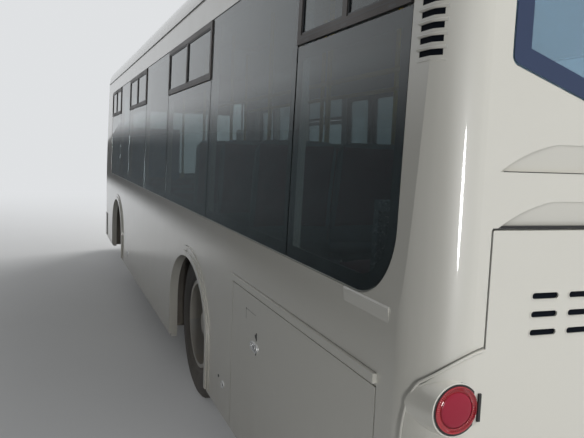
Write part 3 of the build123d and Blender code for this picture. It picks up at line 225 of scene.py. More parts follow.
def revolved(radius, height, sides):
    """A profile turned about Z: each profile point becomes a ring of equal steps."""
    angle = np.linspace(0, 2 * pi, sides, endpoint=False)[:, None]
    grid = np.stack([radius * np.cos(angle), radius * np.sin(angle), height + 0 * angle], -1)
    return grid.reshape(-1, 3), grid_faces(sides, len(radius), wrap_rows=True)


def pillow(size, square=0.35, rows=18, cols=28):
    """A superellipsoid: each axis is a signed power of sines and cosines; a small power is nearly a box."""
    rise = np.linspace(-pi / 2, pi / 2, rows)[:, None]
    turn = np.linspace(0, 2 * pi, cols, endpoint=False)[None, :]

    def power(value):
        return np.sign(value) * np.abs(value) ** square

    grid = np.stack([power(np.cos(rise)) * power(np.cos(turn)) * size[0] / 2,
                     power(np.cos(rise)) * power(np.sin(turn)) * size[1] / 2,
                     power(np.sin(rise)) * size[2] / 2 + 0 * turn], -1)
    return grid.reshape(-1, 3), grid_faces(rows, cols, wrap_cols=True)


def rounded_loop(low, high, radii, inset, steps=10):
    """A rectangle with four rounded corners, moved inwards; the arcs share their centres at every inset."""
    angle = np.linspace(0, pi / 2, steps)
    loops = []
    corners = ((high[0], high[1], 0), (low[0], high[1], 1), (low[0], low[1], 2), (high[0], low[1], 3))
    for (cx, cz, quarter), corner in zip(corners, radii):
        keep = max(corner, inset)
        sx = 1 if cx == high[0] else -1
        sz = 1 if cz == high[1] else -1
        arc = angle + quarter * pi / 2
        loops.append(np.stack([cx - sx * keep + (keep - inset) * np.cos(arc),
                               cz - sz * keep + (keep - inset) * np.sin(arc)], -1))
    return np.concatenate(loops)


def band(outer, inner, skin, depth, thick):
    """A flat strip between two matching loops, laid on a skin: four corners carried round the loop."""
    flat = np.stack([outer, inner, inner, outer], 1)
    depths = np.array([depth, depth, depth + thick, depth + thick])[None, :]
    grid = skin(flat[..., 0], flat[..., 1], depths + 0 * flat[..., 0])
    return grid.reshape(-1, 3), grid_faces(len(outer), 4, wrap_rows=True, wrap_cols=True)


def strip(across, along, skin, depth, thick):
    """A straight strip from two value ranges, four corners carried along it, with closed ends."""
    a = np.array([across[0], across[1], across[1], across[0]])[None, :]
    d = np.array([depth, depth, depth + thick, depth + thick])[None, :]
    b = np.asarray(along)[:, None]
    grid = skin(a + 0 * b, b + 0 * a, d + 0 * b)
    rows = len(along)
    faces = grid_faces(rows, 4, wrap_cols=True)
    ends = np.array([[0, 1, 2, 3], [4 * rows - 1, 4 * rows - 2, 4 * rows - 3, 4 * rows - 4]])
    return grid.reshape(-1, 3), np.concatenate([faces, ends])


def plate(outer, skin, depth, thick):
    """A flat closed sheet inside one loop: a band whose inner loop is a single middle point."""
    middle = outer.mean(axis=0, keepdims=True) + 0 * outer
    return band(outer, middle, skin, depth, thick)


def tube(path, radius, sides=10):
    """A round bar along a path: rings at right angles to it, with radius nought at both ends to close it."""
    path = np.concatenate([path[:1], path, path[-1:]])
    along = np.gradient(path[1:-1], axis=0)
    along = np.concatenate([along[:1], along, along[-1:]])
    along /= np.linalg.norm(along, axis=1)[:, None]
    helper = np.eye(3)[np.argmin(np.abs(along).max(axis=0))]
    first = np.cross(along, helper)
    first /= np.linalg.norm(first, axis=1)[:, None]
    second = np.cross(along, first)
    angle = np.linspace(0, 2 * pi, sides, endpoint=False)[None, :, None]
    reach = np.full(len(path), float(radius))
    reach[[0, -1]] = 0.0
    ring = np.cos(angle) * first[:, None] + np.sin(angle) * second[:, None]
    grid = path[:, None] + reach[:, None, None] * ring
    return grid.reshape(-1, 3), grid_faces(len(path), sides, wrap_cols=True)


def left_skin(x, z, depth):
    return np.stack([x, side_y(z) - depth, z], -1)


def right_skin(x, z, depth):
    return np.stack([x, -side_y(z) + depth, z], -1)


def rear_skin(y, z, depth):
    return np.stack([rear_x(y) + depth, y, z], -1)


def front_skin(y, z, depth):
    return np.stack([front_x(y, z) - depth, y, z], -1)


def upright(skin):
    """The same skin for a strip that is narrow in height and runs along: the two values change places."""
    return lambda z, along, depth: skin(along, z, depth)


# %% [markdown]
# ## Finishes: shared effects
# Dust, panel waves, grain and weave show on more than one material. Each is a shader node group that is
# built once and set in every material with its own values. A group reads the place on the object and
# puts out a colour, a mask or a normal; the shader itself stays in the material.

# %% Node helpers
def put(tree, kind, settings=None, **values):
    """Adds a node. Settings are its own properties; values go to its inputs, _0 and _1 by number."""
    node = tree.nodes.new("ShaderNode" + kind)
    for key, value in (settings or {}).items():
        setattr(node, key, value)
    for key, value in values.items():
        socket = node.inputs[int(key[1:])] if key[0] == "_" else node.inputs[key.replace("_", " ")]
        if isinstance(value, bpy.types.NodeSocket):
            tree.links.new(value, socket)
        else:
            socket.default_value = value
    return node


def calc(tree, operation, a, b=0.0, clamp=False):
    return put(tree, "Math", {"operation": operation, "use_clamp": clamp}, _0=a, _1=b).outputs[0]


def ramp(tree, value, factor, offset):
    """The value times a factor, plus an offset."""
    return calc(tree, "ADD", calc(tree, "MULTIPLY", value, factor), offset)


def spot_on_object(tree):
    return put(tree, "TexCoord").outputs["Object"]


def noise(tree, where, scale, detail, roughness=0.5):
    return put(tree, "TexNoise", Vector=where, Scale=scale, Detail=detail, Roughness=roughness).outputs["Fac"]


def blended(tree, share, a, b, blend="MIX"):
    """Mixes two colours by a share, with the colour sockets of the Mix node."""
    node = put(tree, "Mix", {"data_type": "RGBA", "blend_type": blend}, _0=share)
    for number, value in ((6, a), (7, b)):
        if isinstance(value, bpy.types.NodeSocket):
            tree.links.new(value, node.inputs[number])
        else:
            node.inputs[number].default_value = value
    return node.outputs[2]


def new_group(name, inputs, outputs):
    """An empty node group with named sockets, its two end nodes and the place on the object."""
    tree = bpy.data.node_groups.new(name, "ShaderNodeTree")
    for label, kind, value in inputs:
        socket = tree.interface.new_socket(label, in_out="INPUT", socket_type="NodeSocket" + kind)
        socket.default_value = value
    for label, kind in outputs:
        tree.interface.new_socket(label, in_out="OUTPUT", socket_type="NodeSocket" + kind)
    given = tree.nodes.new("NodeGroupInput").outputs
    result = tree.nodes.new("NodeGroupOutput").inputs
    where = spot_on_object(tree)
    return tree, given, result, where


def use(tree, group, **values):
    node = tree.nodes.new("ShaderNodeGroup")
    node.node_tree = group
    for key, value in values.items():
        socket = node.inputs[key.replace("_", " ")]
        if isinstance(value, bpy.types.NodeSocket):
            tree.links.new(value, socket)
        else:
            socket.default_value = value
    return node.outputs


def give(tree, result, **values):
    """Links what a group works out to its own output sockets."""
    for key, socket in values.items():
        tree.links.new(socket, result[key])


def rgb(red, green, blue):
    return (red, green, blue, 1.0)


# %% [markdown]
# Road dust settles thickest near the ground and on faces that look up, and it runs down in streaks.
# The group mixes a dust colour over any base by height, by the face's direction and by two noises.

# %% Dust group
DUST = rgb(0.30, 0.26, 0.21)
dust_tree, given, result, where = new_group(
    "road_dust",
    [("Base", "Color", rgb(1, 1, 1)), ("Dust", "Color", DUST),
     ("Reach", "Float", 1.0), ("Amount", "Float", 0.5)],
    [("Color", "Color"), ("Mask", "Float")])
height = put(dust_tree, "SeparateXYZ", _0=where).outputs["Z"]
near = calc(dust_tree, "SUBTRACT", 1.0, calc(dust_tree, "DIVIDE", height, given["Reach"]), clamp=True)
near = calc(dust_tree, "POWER", near, 1.8)
facing = put(dust_tree, "NewGeometry").outputs["Normal"]
upward = calc(dust_tree, "MAXIMUM", put(dust_tree, "SeparateXYZ", _0=facing).outputs["Z"], 0.0)
cloud = noise(dust_tree, where, 2.3, 6.0, 0.62)
stretched = put(dust_tree, "Mapping", Vector=where, Scale=(14.0, 14.0, 0.9)).outputs[0]
streak = noise(dust_tree, stretched, 1.6, 4.0)
patches = calc(dust_tree, "MULTIPLY", calc(dust_tree, "ADD", cloud, streak), 0.9)
lying = ramp(dust_tree, upward, 0.35, near)
mask = calc(dust_tree, "MULTIPLY", calc(dust_tree, "MULTIPLY", lying, patches), given["Amount"], clamp=True)
give(dust_tree, result, Mask=mask, Color=blended(dust_tree, mask, given["Base"], given["Dust"]))

# %% [markdown]
# Large painted sheets are never flat: they swell a little between their frames, and the enamel has a
# fine orange peel. Reflections show both. The group adds a slow wave and a fine one into one normal.

# %% Panel wave group
wave_tree, given, result, where = new_group(
    "panel_waves",
    [("Swell", "Float", 0.004), ("Peel", "Float", 0.00002)],
    [("Normal", "Vector"), ("Height", "Float")])
slow = noise(wave_tree, where, 1.7, 1.0)
fine = noise(wave_tree, where, 260.0, 2.0)
total = ramp(wave_tree, slow, given["Swell"], calc(wave_tree, "MULTIPLY", fine, given["Peel"]))
bump = put(wave_tree, "Bump", Height=total, Distance=1.0, Strength=1.0)
give(wave_tree, result, Normal=bump.outputs[0], Height=total)

# %% [markdown]
# Moulded plastic, rubber and bare castings share a fine uneven grain. One noise gives the bump, and a
# second, slower one gives patches where the surface has been handled or has weathered.

# %% Grain group
grain_tree, given, result, where = new_group(
    "grain",
    [("Scale", "Float", 300.0), ("Depth", "Float", 0.0003)],
    [("Normal", "Vector"), ("Patch", "Float")])
speck = noise(grain_tree, where, given["Scale"], 3.0)
patch = noise(grain_tree, where, 3.1, 5.0)
lifted = calc(grain_tree, "MULTIPLY", speck, given["Depth"])
bump = put(grain_tree, "Bump", Height=lifted, Distance=1.0)
give(grain_tree, result, Normal=bump.outputs[0], Patch=patch)

# %% [markdown]
# Seat cloth is a tight plain weave. Two sine waves at right angles, one for each set of threads, give
# the height, and their difference says which thread lies on top.

# %% Weave group
FULL_TURN = 6.283
weave_tree, given, result, where = new_group(
    "weave",
    [("Threads", "Float", 220.0), ("Depth", "Float", 0.0004)],
    [("Normal", "Vector"), ("Over", "Float")])
split = put(weave_tree, "SeparateXYZ", _0=where).outputs
slant = calc(weave_tree, "ADD", split["X"], split["Z"])
turns = calc(weave_tree, "MULTIPLY", given["Threads"], FULL_TURN)
warp, weft = (calc(weave_tree, "SINE", calc(weave_tree, "MULTIPLY", along, turns))
              for along in (slant, split["Y"]))
over = calc(weave_tree, "MULTIPLY", warp, weft)
tall = calc(weave_tree, "MULTIPLY", over, given["Depth"])
bump = put(weave_tree, "Bump", Height=tall, Distance=1.0, Strength=0.6)
share_over = calc(weave_tree, "MULTIPLY", calc(weave_tree, "ADD", over, 1.0), 0.5)
give(weave_tree, result, Normal=bump.outputs[0], Over=share_over)

# %% [markdown]
# ## Finishes: materials
# A material sets its constants on the shader's own sockets and takes from the groups only what changes
# over the surface.

# %% Material helper
def finish(name, **sockets):
    made = bpy.data.materials.new(name)
    made.use_nodes = True
    shader = made.node_tree.nodes["Principled BSDF"]
    for key, value in sockets.items():
        shader.inputs[key.replace("_", " ")].default_value = value
    return made, made.node_tree, shader.inputs


def feed(tree, **links):
    """Links outputs to the shader's inputs, named with underscores for spaces."""
    shader = tree.nodes["Principled BSDF"].inputs
    for key, socket in links.items():
        tree.links.new(socket, shader[key.replace("_", " ")])


# %% [markdown]
# The same panel is ivory outside and grey inside. The grey is partly the lining's own colour and partly
# painted shade for the darker saloon. Which side a point lies on follows from its normal: on the outside it
# points away from the middle of the saloon. The group takes the vector from a core, the saloon's middle line
# stretched to most of its length and height, and compares the two.

# %% Lining and painted shade group
CORE_X = (REAR + 0.55, FRONT - 0.75)
CORE_Z = (0.60, 2.35)
lining_and_shade_tree, given, result, where = new_group("lining_side", [], [("Mask", "Float")])
spot = put(lining_and_shade_tree, "SeparateXYZ", _0=where).outputs
core_x = put(lining_and_shade_tree, "Clamp", Value=spot["X"], Min=CORE_X[0], Max=CORE_X[1]).outputs[0]
core_z = put(lining_and_shade_tree, "Clamp", Value=spot["Z"], Min=CORE_Z[0], Max=CORE_Z[1]).outputs[0]
core = put(lining_and_shade_tree, "CombineXYZ", X=core_x, Y=0.0, Z=core_z).outputs[0]
away = put(lining_and_shade_tree, "VectorMath", {"operation": "SUBTRACT"}, _0=where, _1=core).outputs[0]
facing = put(lining_and_shade_tree, "NewGeometry").outputs["Normal"]
outward = put(lining_and_shade_tree, "VectorMath", {"operation": "DOT_PRODUCT"}, _0=away, _1=facing).outputs["Value"]
give(lining_and_shade_tree, result, Mask=calc(lining_and_shade_tree, "LESS_THAN", outward, -0.02))

# %% [markdown]
# The body is gloss enamel in a warm off-white. The photograph shows it ivory where light falls on it and
# grey where it mirrors the hall. A clear coat gives the mirror, the waves bend it, and dust greys the skirt.

# %% Enamel
# The inside grey is partly the lining's own colour and partly painted shade for the darker saloon.
LINING_AND_SHADE = rgb(0.30, 0.31, 0.31)


def enamel(name, colour, dust, reach, swell=0.0035):
    made, tree, shader = finish(name, IOR=1.5, Coat_Roughness=0.03, Coat_IOR=1.5)
    where = spot_on_object(tree)
    tone = noise(tree, where, 0.9, 3.0)
    aged = tuple(c * s for c, s in zip(colour[:3], (0.95, 0.94, 0.90))) + (1.0,)
    inside = use(tree, lining_and_shade_tree)["Mask"]
    base = blended(tree, inside, blended(tree, tone, colour, aged), LINING_AND_SHADE)
    dusty = use(tree, dust_tree, Base=base, Reach=reach, Amount=dust)
    smear = noise(tree, where, 5.0, 5.0, 0.7)
    rough = ramp(tree, smear, 0.20, calc(tree, "MULTIPLY", dusty["Mask"], 0.4))
    rough = calc(tree, "ADD", rough, 0.26)
    lacquer = calc(tree, "SUBTRACT", 1.0, calc(tree, "MAXIMUM", inside, dusty["Mask"]), clamp=True)
    feed(tree, Base_Color=dusty["Color"], Roughness=rough, Normal=use(tree, wave_tree, Swell=swell)["Normal"],
         Coat_Weight=lacquer)
    return made


IVORY = rgb(0.66, 0.65, 0.60)
paint = enamel("ivory_enamel", IVORY, 0.55, 1.0)
wheel_paint = enamel("wheel_enamel", rgb(0.38, 0.37, 0.345), 0.75, 1.3, swell=0.0)

# %% [markdown]
# The panes are tinted and bonded. Real glass sends light through and mirrors more as the look gets
# flatter, which the shader does by itself. Shadow rays are let through in part, so that lamps outside
# light the saloon as daylight does.

# %% Glass
def tinted(name, colour, daylight, through=1.0):
    made, tree, shader = finish(name, Base_Color=colour, Roughness=0.0, IOR=1.5, Transmission_Weight=through)
    shade = put(tree, "LightPath").outputs["Is Shadow Ray"]
    feed(tree, Alpha=calc(tree, "SUBTRACT", 1.0, calc(tree, "MULTIPLY", shade, daylight)),
         Normal=use(tree, wave_tree, Swell=0.0007, Peel=0.0)["Normal"])
    return made


glass = tinted("tinted_glass", rgb(0.20, 0.245, 0.255), 0.45)
screen_glass = tinted("screen_glass", rgb(0.62, 0.70, 0.70), 0.70)
# The rear pane sends only part of the light through; the rest is an opaque pale blue, painted light that
# makes the pane read lighter.
rear_glass = tinted("rear_glass", rgb(0.40, 0.58, 0.72), 0.60, through=0.72)

clear, tree, shader = finish("clear_cover", Base_Color=rgb(0.93, 0.95, 0.96), Roughness=0.03, IOR=1.49,
                             Transmission_Weight=1.0)
feed(tree, Normal=use(tree, grain_tree, Scale=90.0, Depth=0.00008)["Normal"])

# %% [markdown]
# Plastics, rubbers and castings differ in colour, gloss and grain. One function makes them all: the
# patch mask of the grain group shifts the roughness, and dust lies over the colour.

# %% Plain materials with grain and dust
def moulded(name, colour, rough, scale, depth, dust=0.3, reach=1.2, **sockets):
    made, tree, shader = finish(name, **sockets)
    grain = use(tree, grain_tree, Scale=scale, Depth=depth)
    darker = tuple(c * 0.72 for c in colour[:3]) + (1.0,)
    base = blended(tree, grain["Patch"], colour, darker)
    dusty = use(tree, dust_tree, Base=base, Reach=reach, Amount=dust)
    gloss = ramp(tree, grain["Patch"], 0.25, rough - 0.12)
    feed(tree, Base_Color=dusty["Color"], Roughness=gloss, Normal=grain["Normal"])
    return made


tyre_rubber = moulded("tyre_rubber", rgb(0.030, 0.030, 0.031), 0.62, 420.0, 0.0004, dust=0.30, reach=1.35)
seal_rubber = moulded("seal_rubber", rgb(0.018, 0.018, 0.019), 0.55, 300.0, 0.0002, dust=0.15)
black_print = moulded("black_print", rgb(0.012, 0.013, 0.015), 0.35, 80.0, 0.00005, dust=0.0)
anodised = moulded("dark_anodised", rgb(0.070, 0.062, 0.058), 0.42, 500.0, 0.0001, dust=0.2, Metallic=0.75)
black_plastic = moulded("black_moulding", rgb(0.030, 0.030, 0.032), 0.5, 260.0, 0.0004, dust=0.3)
grey_plastic = moulded("grey_moulding", rgb(0.24, 0.25, 0.25), 0.5, 220.0, 0.0004, dust=0.1)
chassis_black = moulded("chassis_black", rgb(0.035, 0.034, 0.033), 0.62, 120.0, 0.0006, dust=1.0, reach=1.6)
cast_iron = moulded("cast_iron", rgb(0.085, 0.075, 0.068), 0.70, 160.0, 0.0012, dust=0.9, reach=1.6,
                    Metallic=0.6)
yellow_coat = moulded("yellow_coat", rgb(0.80, 0.56, 0.04), 0.34, 500.0, 0.00012, dust=0.0)
blue_board = moulded("blue_board", rgb(0.03, 0.20, 0.45), 0.30, 40.0, 0.00008, dust=0.0)
chrome = moulded("bright_metal", rgb(0.86, 0.87, 0.88), 0.38, 700.0, 0.00005, dust=0.0, Metallic=0.85)

# %% [markdown]
# A lamp is a clear moulding with a polished face. The depth of the colour comes from the flutes inside, which
# are modelled, so the material only has to be clear, a little uneven and glossy. The centres are a darker,
# duller red.

# %% Lamp plastics
def lens_plastic(name, bright, deep, rough, **sockets):
    """Coloured clear plastic: the patches mix two depths of the colour and shift the roughness."""
    made, tree, shader = finish(name, IOR=1.49, **sockets)
    grain = use(tree, grain_tree, Scale=60.0, Depth=0.00006)
    feed(tree, Base_Color=blended(tree, grain["Patch"], bright, deep),
         Roughness=ramp(tree, grain["Patch"], 0.15, rough), Normal=grain["Normal"])
    return made


red_lens = lens_plastic("red_lens", rgb(0.42, 0.010, 0.022), rgb(0.26, 0.006, 0.014), 0.10,
                        Coat_Weight=0.8, Coat_Roughness=0.04)
red_centre = lens_plastic("red_centre", rgb(0.34, 0.010, 0.036), rgb(0.24, 0.008, 0.026), 0.18,
                          Specular_IOR_Level=0.25, Coat_Weight=0.25, Coat_Roughness=0.05)
amber_lens = lens_plastic("amber_lens", rgb(0.80, 0.25, 0.02), rgb(0.62, 0.16, 0.01), 0.10,
                          Coat_Weight=0.8, Coat_Roughness=0.04)

# %% [markdown]
# Seat cloth is maroon, with a darker thread, and scatters light at its edges. The floor is a grey vinyl
# with light and dark flecks.

# %% Cloth and floor covering
cloth, tree, shader = finish("maroon_cloth", Sheen_Weight=0.35, Sheen_Roughness=0.5)
weave = use(tree, weave_tree, Threads=180.0, Depth=0.0005)
where = spot_on_object(tree)
worn = noise(tree, where, 6.0, 4.0)
base = blended(tree, weave["Over"], rgb(0.17, 0.020, 0.035), rgb(0.30, 0.045, 0.065))
base = blended(tree, calc(tree, "MULTIPLY", worn, 0.4), base, rgb(0.20, 0.08, 0.08))
feed(tree, Base_Color=base, Roughness=ramp(tree, worn, 0.2, 0.72), Normal=weave["Normal"])

vinyl, tree, shader = finish("flecked_vinyl")
where = spot_on_object(tree)
fleck = put(tree, "TexVoronoi", Vector=where, Scale=160.0).outputs["Color"]
level_of = put(tree, "SeparateXYZ", _0=fleck).outputs["X"]
base = blended(tree, calc(tree, "GREATER_THAN", level_of, 0.86), rgb(0.16, 0.17, 0.18), rgb(0.36, 0.37, 0.38))
base = blended(tree, calc(tree, "LESS_THAN", level_of, 0.12), base, rgb(0.05, 0.05, 0.06))
grain = use(tree, grain_tree, Scale=200.0, Depth=0.0003)
feed(tree, Base_Color=base, Roughness=ramp(tree, grain["Patch"], 0.3, 0.35), Normal=grain["Normal"])

# %% [markdown]
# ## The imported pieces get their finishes
# Each construction piece whose shape is right stays as it is and only takes a better material.

# %% Dress the construction pieces
DRESS = {
    paint: ("side_wall_left", "side_wall_right", "roof", "front_wall", "rear_wall", "front_bumper",
            "rear_bumper", "engine_lid", "side_hatch", "roof_hatch_front", "roof_hatch_rear", "arch_trims"),
    glass: ("side_glass", "front_door_glass", "mid_door_rear_glass", "mid_door_fore_glass"),
    screen_glass: ("windscreen",),
    rear_glass: ("rear_window",),
    clear: ("headlamps",),
    anodised: ("vent_frames",),
    black_plastic: ("front_door", "mid_door_rear", "mid_door_fore", "mirrors", "wipers", "destination_sign",
                    "steering_wheel"),
    grey_plastic: ("dashboard", "passenger_seats"),
    chassis_black: ("chassis_frame", "wheel_houses"),
    cast_iron: ("engine_block", "front_axle", "rear_axle", "knuckle_left", "knuckle_right"),
    wheel_paint: ("rim_front_left", "rim_front_right", "rims_rear_left", "rims_rear_right"),
    yellow_coat: ("handrails",),
    blue_board: ("driver_partition",),
    vinyl: ("floor",),
    red_lens: ("tail_lamps",),
    tyre_rubber: ("tyre_front_left", "tyre_front_right", "tyres_rear_left", "tyres_rear_right"),
    cloth: ("driver_seat",),
}
for coat, names in DRESS.items():
    for name in names:
        node = nodes[name]
        if not node.material_slots:
            node.data.materials.append(coat)
        for material_slot in node.material_slots:
            material_slot.material = coat
print("dressed", sum(len(names) for names in DRESS.values()))

# %% [markdown]
# ## Tyres
# A city tyre has four zigzag grooves and small cuts at the shoulders. One closed profile is carried
# round the axle: the groove walls are profile points that swing from side to side with the angle, and
# the shoulder cuts lower the outermost tread points at every second step.

# %% Tyres with tread
WHEEL_R = 0.500
TYRE_HALF = 0.1375
BEAD_R = 0.286
SEAT_R = 0.301
BEAD_HALF = 0.102
TREAD_HALF = 0.106
GROOVES = (-0.068, -0.024, 0.024, 0.068)
GROOVE_HALF = 0.0045
GROOVE_DEPTH = 0.012
ZIGZAG = 0.0035
PITCHES = 44
STEPS = 6
SIDE_R = np.array([SEAT_R, 0.312, 0.325, 0.327, 0.345, 0.365, 0.385,
                   0.405, 0.425, 0.427, 0.445, 0.447, 0.462, 0.476])
RAISED = np.array([0, 0, 0, 0.0016, 0, 0, 0, 0, 0, 0.0018, 0.0018, 0, 0, 0])
WIDEST_R = 0.385
FALL_LOW = 0.0394
FALL_HIGH = 0.0180
FALL_REACH = 0.09
RIB = 0.0018

def side_wall_line(sign):
    """From bead to shoulder: widest at two fifths of the height, falling off as a square to each end."""
    fall = np.where(SIDE_R < WIDEST_R, FALL_LOW, FALL_HIGH)
    width = TYRE_HALF - fall * ((SIDE_R - WIDEST_R) / FALL_REACH) ** 2
    return SIDE_R, sign * (width + RAISED - RIB)


def tyre_mesh(centre):
    """Rows of angle and columns of profile; grooves shift with a triangle wave of the angle."""
    steps = PITCHES * STEPS
    angle = np.linspace(0, 2 * pi, steps, endpoint=False)[:, None]
    phase = (np.arange(steps) % STEPS)[:, None] / STEPS
    zig = ZIGZAG * (4 * np.abs(phase - 0.5) - 1.0)
    r_side, w_side = side_wall_line(-1)
    tread_w, tread_drop = [-TREAD_HALF, -TREAD_HALF + 0.004, -0.090], [0.006, 0.001, 0]
    swing, cut = [0, 0, 0], [1, 1, 0]
    for middle in GROOVES:
        for offset, drop in ((-1, 0.0), (-0.8, 1.0), (0.8, 1.0), (1, 0.0)):
            tread_w.append(middle + offset * GROOVE_HALF)
            tread_drop.append(drop * GROOVE_DEPTH)
            swing.append(1)
            cut.append(0)
    tread_w += [0.090, TREAD_HALF - 0.004, TREAD_HALF]
    tread_drop += [0, 0.001, 0.006]
    swing += [0, 0, 0]
    cut += [0, 1, 1]
    tread_w, tread_drop, swing, cut = (np.array(v, float)[None, :] for v in (tread_w, tread_drop, swing, cut))
    crown = 0.004 * (tread_w / TREAD_HALF) ** 2
    shoulder_cut = 0.007 * cut * (phase < 0.34)
    tread_r = WHEEL_R - 0.0005 - crown - tread_drop - shoulder_cut
    tread_w = tread_w + swing * zig + 0 * angle
    ones = np.ones((steps, 1))
    radius = np.hstack([BEAD_R * ones, r_side * ones, tread_r, r_side[::-1] * ones, BEAD_R * ones])
    width = np.hstack([-BEAD_HALF * ones, w_side * ones, tread_w, -w_side[::-1] * ones, BEAD_HALF * ones])
    grid = np.stack([centre[0] + radius * np.cos(angle), centre[1] + width,
                     centre[2] + radius * np.sin(angle)], -1)
    return grid.reshape(-1, 3), grid_faces(steps, radius.shape[1], wrap_rows=True, wrap_cols=True)


TWIN = 0.335
# Columns: body, tyre node, tyres side by side.
TYRES = (("wheel_front_left", "tyre_front_left", 1), ("wheel_front_right", "tyre_front_right", 1),
         ("wheels_rear_left", "tyres_rear_left", 2), ("wheels_rear_right", "tyres_rear_right", 2))
for body, node_name, twins in TYRES:
    hub = pivot[body]
    inwards = -np.sign(hub[1]) * TWIN
    parts = [tyre_mesh(hub + np.array([0, k * inwards, 0])) for k in range(twins)]
    tyre = add_piece("tread_" + node_name, *joined(*parts), body, "tyre", tyre_rubber, smooth=32)
    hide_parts(node_name)

# %% [markdown]
# ## Printed borders
# Bonded panes carry a black printed border that hides the glue. Each border is a thin band between two
# matching rounded loops, laid on the skin just behind the pane. The rear window's border is navy, and lies on
# the outside of its pane.

# %% Borders of the panes
BORDER = 0.050
PRINT_DEPTH = PANE_IN + 0.00008
PRINT = 0.0001
JOINT = 0.006
SHARP = 0.004
BAND_R = 0.054
BAND_REAR_R = 0.214
SLIDER_Z = 2.100
# Columns: rear edge and front edge from the rear axle, and whether the top slides.
LEFT_PANES = ((-2.66, -1.83, True), (-1.83, -0.45, False), (-0.45, 0.95, True), (0.95, 2.15, False),
              (2.15, 3.45, True), (3.45, 4.38, False), (4.38, 5.50, True))
RIGHT_PANES = (((-2.66, -1.83, True), (-1.83, -0.45, False), (-0.45, 0.60, True), (0.60, 1.35, False)),
               ((2.76, 3.95, True), (3.95, 5.13, False)))


def pane_borders(panes, skin):
    """Each pane's edge and the same loop moved inwards; only the ends of a row have large corners."""
    parts = []
    for i, (rear, front, slides) in enumerate(panes):
        low = (REAR_AXLE + rear + JOINT, WAIST + JOINT)
        high = (REAR_AXLE + front - JOINT, SLIDER_Z - JOINT if slides else GLASS_TOP - JOINT)
        first, last = i == 0, i == len(panes) - 1
        low_rear = BAND_REAR_R if first and rear < -2.0 else BAND_R if first else SHARP
        radii = (BAND_R if last and not slides else SHARP, BAND_R if first and not slides else SHARP,
                 low_rear, BAND_R if last else SHARP)
        outer = rounded_loop(low, high, radii, 0.0)
        inner = rounded_loop(low, high, radii, BORDER)
        parts.append(band(outer, inner, skin, PRINT_DEPTH, PRINT))
    return parts


left_parts = pane_borders(LEFT_PANES, left_skin)
add_piece("glass_borders_left", *joined(*left_parts), "bodywork", "black", black_print)
right_parts = [part for row in RIGHT_PANES for part in pane_borders(row, right_skin)]
add_piece("glass_borders_right", *joined(*right_parts), "bodywork", "black", black_print)

SCREEN = ((-1.130, 1.180), (1.130, 2.530))
SCREEN_R = (0.115,) * 4
SCREEN_BORDER = 0.075
screen_loops = [rounded_loop(*SCREEN, SCREEN_R, inset, steps=14) for inset in (0.0, SCREEN_BORDER)]


def refined(loop, spacing=0.05):
    """Extra points along the long straight parts, so that a border follows a bowed pane."""
    ahead_of = np.roll(loop, -1, axis=0)
    counts = np.maximum(1, np.ceil(np.linalg.norm(ahead_of - loop, axis=1) / spacing).astype(int))
    return counts, ahead_of


def refine_pair(outer, inner, spacing=0.05):
    """The same number of points is added to both loops, so that they still match."""
    counts, after = refined(outer, spacing)
    share = np.concatenate([np.arange(c) / c for c in counts])[:, None]
    index = np.repeat(np.arange(len(outer)), counts)
    inner_after = np.roll(inner, -1, axis=0)
    return (outer[index] + share * (after[index] - outer[index]),
            inner[index] + share * (inner_after[index] - inner[index]))


add_piece("windscreen_border", *band(*refine_pair(*screen_loops), front_skin, PRINT_DEPTH, PRINT),
          "bodywork", "black", black_print)

# Corners of the rear window's lower edge: distance from the middle, height, corner radius.
SILL = ((1.045, 1.941, 0.025), (0.7985, 1.854, 0.495), (0.5395, 1.805, 0.595))
REAR_TOP = 2.495
REAR_TOP_R = 0.085
REAR_BORDER = 0.049
REAR_PRINT_DEPTH = -0.0005
REAR_PRINT = 0.0007


def filleted(points, radii, inset, steps=10):
    """A polygon with rounded corners, moved inwards: each arc is tangent to its two moved sides."""
    points = np.array(points, float)
    before = np.roll(points, 1, axis=0) - points
    after = np.roll(points, -1, axis=0) - points
    before /= np.linalg.norm(before, axis=1)[:, None]
    after /= np.linalg.norm(after, axis=1)[:, None]
    bisector = before + after
    bisector /= np.linalg.norm(bisector, axis=1)[:, None]
    half = np.arccos(np.clip((before * after).sum(1), -1, 1)) / 2
    arcs = []
    for p, b, a, m, h, r in zip(points, before, after, bisector, half, radii):
        keep = max(r, inset)
        centre = p + m * keep / np.sin(h)
        start = p + b * (keep / np.tan(h)) - centre
        finish_at = p + a * (keep / np.tan(h)) - centre
        share = np.linspace(0, 1, steps)[:, None]
        turned = start * (1 - share) + finish_at * share
        turned /= np.linalg.norm(turned, axis=1)[:, None]
        arcs.append(centre + turned * (keep - inset))
    return np.concatenate(arcs)


window_points = [(SILL[0][0], REAR_TOP), (-SILL[0][0], REAR_TOP)]
window_points += [(-y, z) for y, z, r in SILL] + [(y, z) for y, z, r in reversed(SILL)]
window_radii = [REAR_TOP_R] * 2 + [r for y, z, r in SILL + SILL[::-1]]
rear_loops = [filleted(window_points, window_radii, inset) for inset in (0.0, REAR_BORDER)]
navy_print = moulded("navy_print", rgb(0.026, 0.045, 0.105), 0.30, 80.0, 0.00004, dust=0.0)
add_piece("rear_window_border", *band(*refine_pair(*rear_loops), rear_skin, REAR_PRINT_DEPTH, REAR_PRINT),
          "bodywork", "black", navy_print)

# %% [markdown]
# ## Slots of the engine lid
# The fifteen slots on each side read as solid black with a lip in the body enamel. A near-black plate just
# behind the
# face closes each one: it is painted shade, standing in for the dark inside of the slot. A thin enamel lip
# runs round its edge. One slot is worked out flat as a rounded bar, and its copies are laid on the bowed rear
# face as an array.
# They turn with the lid.

